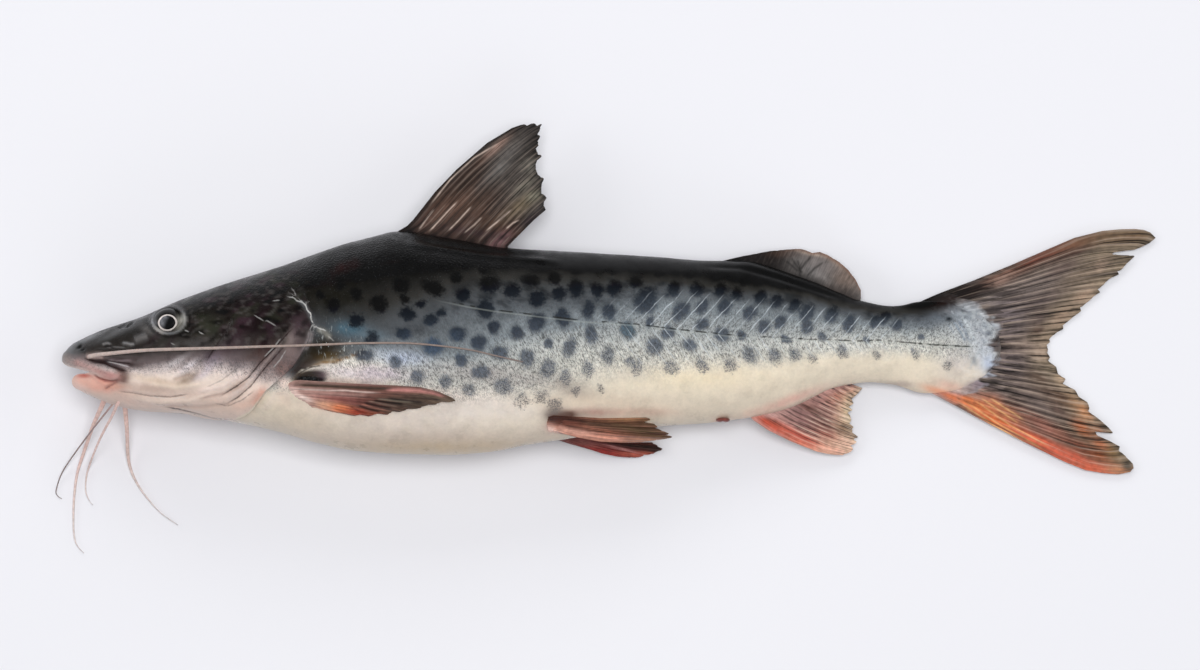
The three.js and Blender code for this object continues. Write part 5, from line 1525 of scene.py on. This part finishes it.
# Chest fins: a stout bony spine in front, dark rays behind it, and orange-red web at the rear. One lies on
# each flank, folded back along it.
chest_web = fin_skin("chest_fin_web", 8, "#150d0c", "#a8776c")
for name, side in (("left_chest_fin", 1), ("right_chest_fin", -1)):
    sheet, u, v = fan(
        root=[(289, 383), (290.5, 389), (297, 395), (307, 399.5), (314, 405)],
        free=[
            (450, 397.5), (457, 401), (450, 402), (443, 401.5), (436, 404.5), (429, 404.5), (420, 408), (409, 409),
            (400, 411.5), (392, 411.5), (388, 414.5), (378, 413.5), (369, 416), (362, 414), (355, 415.5),
            (349, 413.8), (343, 413),
        ],
        front=[(300, 381.5), (318, 382.5), (345, 384), (369, 385), (396, 386), (420, 387.5), (438, 392)],
        rear=[(320, 408.3), (329, 410.5)],
        across=150, out=130, hold=3,
    )
    chest_fin = new_fin(
        name, sheet, u, v,
        height=lambda u, v, x, y: skin_height(x, y, side) + side * (3.2 * v**0.6 - 0.9 + 1.2 * (1 - u) ** 6),
        thick=(3.0, 0.8, 0.5), rays=8, ridge=0.3,
    )
    at, u, v, colour = fin_colour(
        chest_fin,
        ["#b58f86", "#a5837a", "#8b625a", "#6f4b42", "#5f463c", "#554539"],
        [
            (330, 396, 30, 5, 6, "#8f635b", 0.7), (345, 400, 26, 4, 8, "#86504a", 0.8),
            (328, 406, 14, 4, 12, "#d3a084", 0.95), (343, 409, 13, 4.5, 12, "#cc7750", 0.95),
            (358, 412.5, 13, 3.4, 6, "#ab4632", 0.95), (374, 413.5, 10, 2.4, 0, "#8c4a36", 0.7),
            (372, 402, 20, 4, 6, "#5f332d", 0.8), (404, 402, 26, 5, 4, "#4b4036", 0.8),
            (438, 399, 20, 4, 8, "#6b5a4c", 0.8), (293, 392, 6, 4, 40, "#e3c6bc", 0.9),
            (303, 397.5, 9, 2.4, 22, "#e0c8be", 0.9), (408, 390, 24, 2.2, 3, "#b98078", 0.8),
        ],
    )
    # The spine's upper edge is brown and partly painted shade, with a torn pale rim under it that is partly a
    # painted highlight, a painted pink highlight further out, and black gaps part the rays behind it
    for line, width, code, strength in (
        ([(290, 384.6), (320, 385.8), (345, 387), (372, 388.4), (398, 389.4)], 2.4, "#47362b", 1.0),
        ([(291, 388.6), (310, 389.6), (330, 390.6), (345, 390.4), (360, 392), (380, 393)], 0.8, "#d9c2b8", 0.85),
        ([(294, 392.4), (330, 394), (370, 395.6)], 2.2, "#a5837a", 0.6),
        ([(384, 390.4), (400, 389.6), (416, 390.4), (432, 393), (446, 397)], 1.3, "#cf8d85", 0.8),
        ([(372, 400), (392, 403), (405, 404.2)], 1.4, "#140c0a", 0.9),
        ([(363, 402.4), (378, 406), (393, 409)], 1.3, "#140c0a", 0.9),
        ([(357, 405), (370, 409.4), (381, 412)], 1.2, "#1d0f0c", 0.9),
        ([(386, 398), (408, 401), (425, 402.6)], 1.3, "#1a120f", 0.85),
        ([(400, 396.4), (420, 398.4), (442, 400)], 1.1, "#2b1f1a", 0.8),
        ([(350, 406.5), (359, 411), (368, 414)], 1.0, "#5a1d14", 0.7),
        ([(376, 398.4), (396, 401), (414, 402.6)], 0.8, "#877b6c", 0.6),
        ([(367, 400.8), (384, 404.4), (399, 407)], 0.8, "#8d7a6b", 0.6),
        ([(360, 403.6), (374, 407.6), (387, 410.6)], 0.7, "#9c6a58", 0.6),
    ):
        wash(colour, strength * stroke(at, line, width), code)
    behind = 1 - np.exp(-((u / 0.3) ** 2))
    finish_fin(
        chest_fin, colour, 0.6 * behind * ease(v, 0.25, 0.55), 0.25 * behind * ease(v, 0.3, 0.6), chest_web
    )

# Belly fins: a pair at the belly's rear, brown rays over a salmon edge above, dark red below
belly_web = fin_skin("belly_fin_web", 7, "#22130f", "#b07c6c")
for name, root, free, front, rear, height, base, washes in (
    (
        "left_belly_fin",
        [(549, 417), (546.5, 423), (548, 430)],
        [
            (646, 418), (651, 419.5), (642, 422), (655, 424.5), (658, 427), (652, 427.5), (660, 430), (669, 434),
            (662, 434.5), (673, 437), (664, 438.5), (650, 440.5), (641, 441.5),
        ],
        [(553, 415.6), (570, 416.6), (600, 419), (628, 418.6)],
        [(560, 433), (577, 437), (600, 441), (622, 442)],
        lambda u, v, x, y: np.maximum(50.5 + 9 * ease(v, 0, 0.18) - 19 * v, skin_height(x, y) + 1.0),
        ["#b08070", "#86584c", "#7d5142", "#6e4c3c", "#634a38"],
        [
            (580, 433, 24, 3.5, 12, "#e2ab98", 1.0), (610, 438, 26, 3, 6, "#dc9a84", 1.0),
            (645, 440, 18, 2.5, 0, "#c08a70", 0.9), (592, 425, 34, 3.5, 8, "#5b4233", 0.9),
            (636, 430, 28, 4, 12, "#55452f", 0.9), (562, 419, 18, 5.2, 8, "#2c1813", 1.0),
            (556, 418, 9, 4, 0, "#2c1813", 1.0), (550, 430, 9, 3.5, 20, "#ecc9bb", 1.0),
            (570, 423, 14, 4, 10, "#66392f", 0.9), (630, 420, 22, 1.8, 0, "#b98864", 0.8),
            (600, 430, 26, 2.5, 10, "#96604d", 0.7),
        ],
    ),
    (
        "right_belly_fin",
        [(556, 428), (555, 433), (558, 438)],
        [(652, 442.5), (663, 449.5), (658, 451), (653, 453.5), (646, 454.5), (639, 457), (630, 457)],
        [(577, 438), (600, 441), (623, 443), (640, 442.5)],
        [(570, 443), (589, 449), (603, 453.5), (616, 456)],
        lambda u, v, x, y: 17 - 14 * v**0.7,
        ["#8f6460", "#7e3836", "#742c2c", "#6a2826", "#4a2723"],
        [
            (585, 444, 18, 4, 12, "#8d5a55", 0.8), (606, 452, 24, 3.5, 12, "#96322f", 0.9),
            (640, 454, 20, 3, 0, "#c0604e", 0.9), (635, 446, 26, 3, 6, "#2c1a18", 0.95),
            (622, 449, 16, 1.2, 14, "#c98a86", 0.8), (655, 449, 10, 3, 10, "#2a1b18", 0.9),
        ],
    ),
):
    sheet, u, v = fan(root=root, free=free, front=front, rear=rear, across=110, out=110, hold=2.5)
    belly_fin = new_fin(name, sheet, u, v, height=height, thick=(2.2, 0.8, 0.6), rays=7, ridge=0.25)
    at, u, v, colour = fin_colour(belly_fin, base, washes)
    rays_in = ease(u, 1.0, 0.7) * ease(v, 0.04, 0.2)
    finish_fin(belly_fin, colour, 0.9 * rays_in, 0.35 * rays_in, belly_web)


# --- Barbels ---
# Six whiskers of soft gristly skin. A long grey-brown one leaves each corner of the upper lip and lies back
# along the flank, and four rosy ones hang from the chin on to the table.
LONG_BARBEL = ["#c2b0a9", "#ab9a93", "#97877f", "#7f726d"]
CHIN_BARBEL = ["#e3bfb5", "#dcc0b8", "#d6c8c4", "#cfcacb"]
BARBELS = [
    ("upper_lip_barbel", 1.6, 0.4, LONG_BARBEL, [
        (84, 358, 53), (90, 356.5, 58), (97, 355, 61.6), (110, 353.5, 65.6), (130, 351.5, 69.5), (150, 350, 72),
        (175, 349.2, 75.2), (200, 348.5, 77.8), (225, 347.8, 79.6), (250, 347, 81), (275, 346.2, 82),
        (300, 345.5, 82.3), (330, 344.3, 82), (356, 343.3, 81.5), (390, 343, 80.6), (414, 343.5, 80),
        (444, 346.3, 78.6), (471, 350, 77.4), (494, 355.3, 75.6), (523, 362, 73.6),
    ]),
    ("lower_lip_barbel", 1.25, 0.4, LONG_BARBEL, [
        (84, 357, 18), (106, 358, 10), (143, 365, 3.2), (192, 377, 1.6), (240, 393, 1.4), (279, 408, 1.3),
        (318, 422, 1.2), (368, 433, 1.1), (416, 439.5, 1.0),
    ]),
    ("chin_barbel_1", 0.75, 0.22, ["#c4a59e", "#8d7976", "#7f7270", "#9a9190"], [
        (117, 398, 44), (112, 405, 41), (96, 425, 29), (75, 453, 9.5), (62, 473, 2.2), (56.5, 489, 1.2),
        (57, 495, 1.1), (62, 499, 1.1),
    ]),
    ("chin_barbel_2", 1.9, 0.2, CHIN_BARBEL, [
        (106, 396, 34), (101, 408, 30), (93, 426, 17), (83, 455, 4.2), (77, 475, 1.7), (74, 500, 1.3),
        (73.5, 525, 1.2), (75, 540, 1.1), (79, 548, 1.1), (84, 553, 1.1),
    ]),
    ("chin_barbel_3", 1.4, 0.2, CHIN_BARBEL, [
        (124, 393, 55), (118, 403, 52), (112, 416, 42), (99, 441, 22), (89, 467, 3.2), (86, 480, 1.4), (86, 492, 1.2),
        (89, 500, 1.1), (93, 505, 1.1),
    ]),
    ("chin_barbel_4", 2.0, 0.25, CHIN_BARBEL, [
        (123, 396, 30), (125, 408, 26), (127, 430, 17), (128, 455, 4.8), (131, 470, 2.0), (138, 485, 1.5),
        (148, 499, 1.3), (161, 513, 1.1), (178, 525, 1.1),
    ]),
]


def through(points, steps):
    """A smooth curve that runs through the points."""
    points = np.array(points, float)
    ends = np.vstack([2 * points[0] - points[1], points, 2 * points[-1] - points[-2]])
    rows = []
    for a, b, c, d in zip(ends, ends[1:], ends[2:], ends[3:]):
        for t in np.linspace(0, 1, steps, endpoint=False):
            bend = (2 * a - 5 * b + 4 * c - d) * t**2 + (3 * b - a - 3 * c + d) * t**3
            rows.append(0.5 * (2 * b + (c - a) * t + bend))
    return np.array(rows + [points[-1]])


# Gristly skin: soft and smooth, faintly ringed across its length, with a damp gloss
gristle, tree = new_material("barbel_gristle")
space = add(tree, "TexCoord").outputs["Object"]
grain = add(tree, "TexNoise", {"Vector": space, "Scale": 500, "Detail": 3})
light = add(tree, "Math", {0: grain, 1: 0.7, 2: 0.65}, operation="MULTIPLY_ADD")
tone_at = add(tree, "Attribute", attribute_name="tone")
colour = add(tree, "VectorMath", {0: tone_at, "Scale": light}, operation="SCALE")
along_it = add(tree, "Attribute", attribute_name="share").outputs["Fac"]
bands = add(tree, "Math", {0: along_it, 1: 900.0}, operation="MULTIPLY")
bands = add(tree, "Math", {0: bands}, operation="SINE")
rings_high = add(tree, "Math", {0: bands, 1: 0.15, 2: grain}, operation="MULTIPLY_ADD")
bump = add(tree, "Bump", {"Height": rings_high, "Strength": 0.2, "Distance": 0.0003})
shader = add(
    tree,
    "BsdfPrincipled",
    {
        "Base Color": colour, "Roughness": 0.42, "IOR": 1.4, "Normal": bump, "Coat Weight": 0.1,
        "Subsurface Weight": 0.1, "Subsurface Radius": (1.0, 0.4, 0.25), "Subsurface Scale": 0.001,
    },
)
add(tree, "OutputMaterial", {"Surface": shader})

for name, thick, tip, codes, points in BARBELS:
    path = through(points, 9)
    bpy.ops.object.select_all(action="DESELECT")
    bpy.ops.curve.primitive_nurbs_path_add(radius=1, location=(0, 0, 0))
    whisker = bpy.context.object
    whisker.name = name
    run = whisker.data
    run.dimensions = "3D"
    run.splines.clear()
    spline = run.splines.new("POLY")
    spline.points.add(len(path) - 1)
    for i, (px, py, height) in enumerate(path):
        x, y = place(px, py, height)
        share = i / (len(path) - 1)
        spline.points[i].co = (x / 1000, y / 1000, (height + 0.3) / 1000, 1)
        spline.points[i].radius = thick + (tip - thick) * share**0.5
    run.bevel_depth = 0.001
    run.bevel_resolution = 4
    run.use_fill_caps = True
    bpy.ops.object.convert(target="MESH")
    whisker = bpy.context.object
    edit(
        (bpy.ops.mesh.remove_doubles, {"threshold": 0.00001}),
        (bpy.ops.mesh.normals_make_consistent, {"inside": False}),
    )
    bpy.ops.object.shade_smooth()
    x, y, z = coordinates(whisker)
    middle_x, middle_y = np.array([place(*point) for point in path]).T
    share = np.argmin(np.hypot(middle_x[:, None] - x, middle_y[:, None] - y), axis=0) / (len(path) - 1)
    tone = colour_of(share * (len(codes) - 1), codes)
    attribute(whisker, "tone", tone)
    attribute(whisker, "share", share)
    whisker.data.materials.append(gristle)
    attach(whisker, "root")
    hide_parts("catfish")


# --- Vent ---
# A small red papilla of bare flesh on the belly's keel, in front of the anal fin. It is a low oval mound with
# a crease across it, and most of it lies in the skin.
VENT_SIZE = (3.9, 1.5, 4.0)
VENT_HEIGHT = 31.0
bpy.ops.object.select_all(action="DESELECT")
bpy.ops.mesh.primitive_uv_sphere_add(segments=32, ring_count=20, radius=1, location=(0, 0, 0))
vent = bpy.context.object
vent.name = "vent"
px, py, pz = coordinates(vent) / 1000
vent_x, vent_y = place(723, 420, 34)
crease = 1 - 0.35 * np.exp(-((px / 0.26) ** 2)) * (py < 0)
long, wide, high = VENT_SIZE
shaped = np.stack([vent_x + long * px, vent_y + wide * py * crease, VENT_HEIGHT + high * pz])
vent.data.vertices.foreach_set("co", (shaped.T / 1000).astype(np.float32).ravel())
bpy.ops.object.shade_smooth()
# Moist inner skin: soft red, painted darker in the dips of its bumps as shade in its folds
moist, tree = new_material("moist_vent_flesh")
space = add(tree, "TexCoord").outputs["Object"]
grain = add(tree, "TexNoise", {"Vector": space, "Scale": 600, "Detail": 3})
colour = add(tree, "Mix", {0: grain, 6: shade("#4d201d"), 7: shade("#8d4a42")}, data_type="RGBA")
bump = add(tree, "Bump", {"Height": grain, "Strength": 0.3, "Distance": 0.0005})
shader = add(tree, "BsdfPrincipled", {"Base Color": colour, "Roughness": 0.35, "Normal": bump, "Coat Weight": 0.2})
add(tree, "OutputMaterial", {"Surface": shader})
vent.data.materials.append(moist)
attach(vent, "root")
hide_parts("catfish")
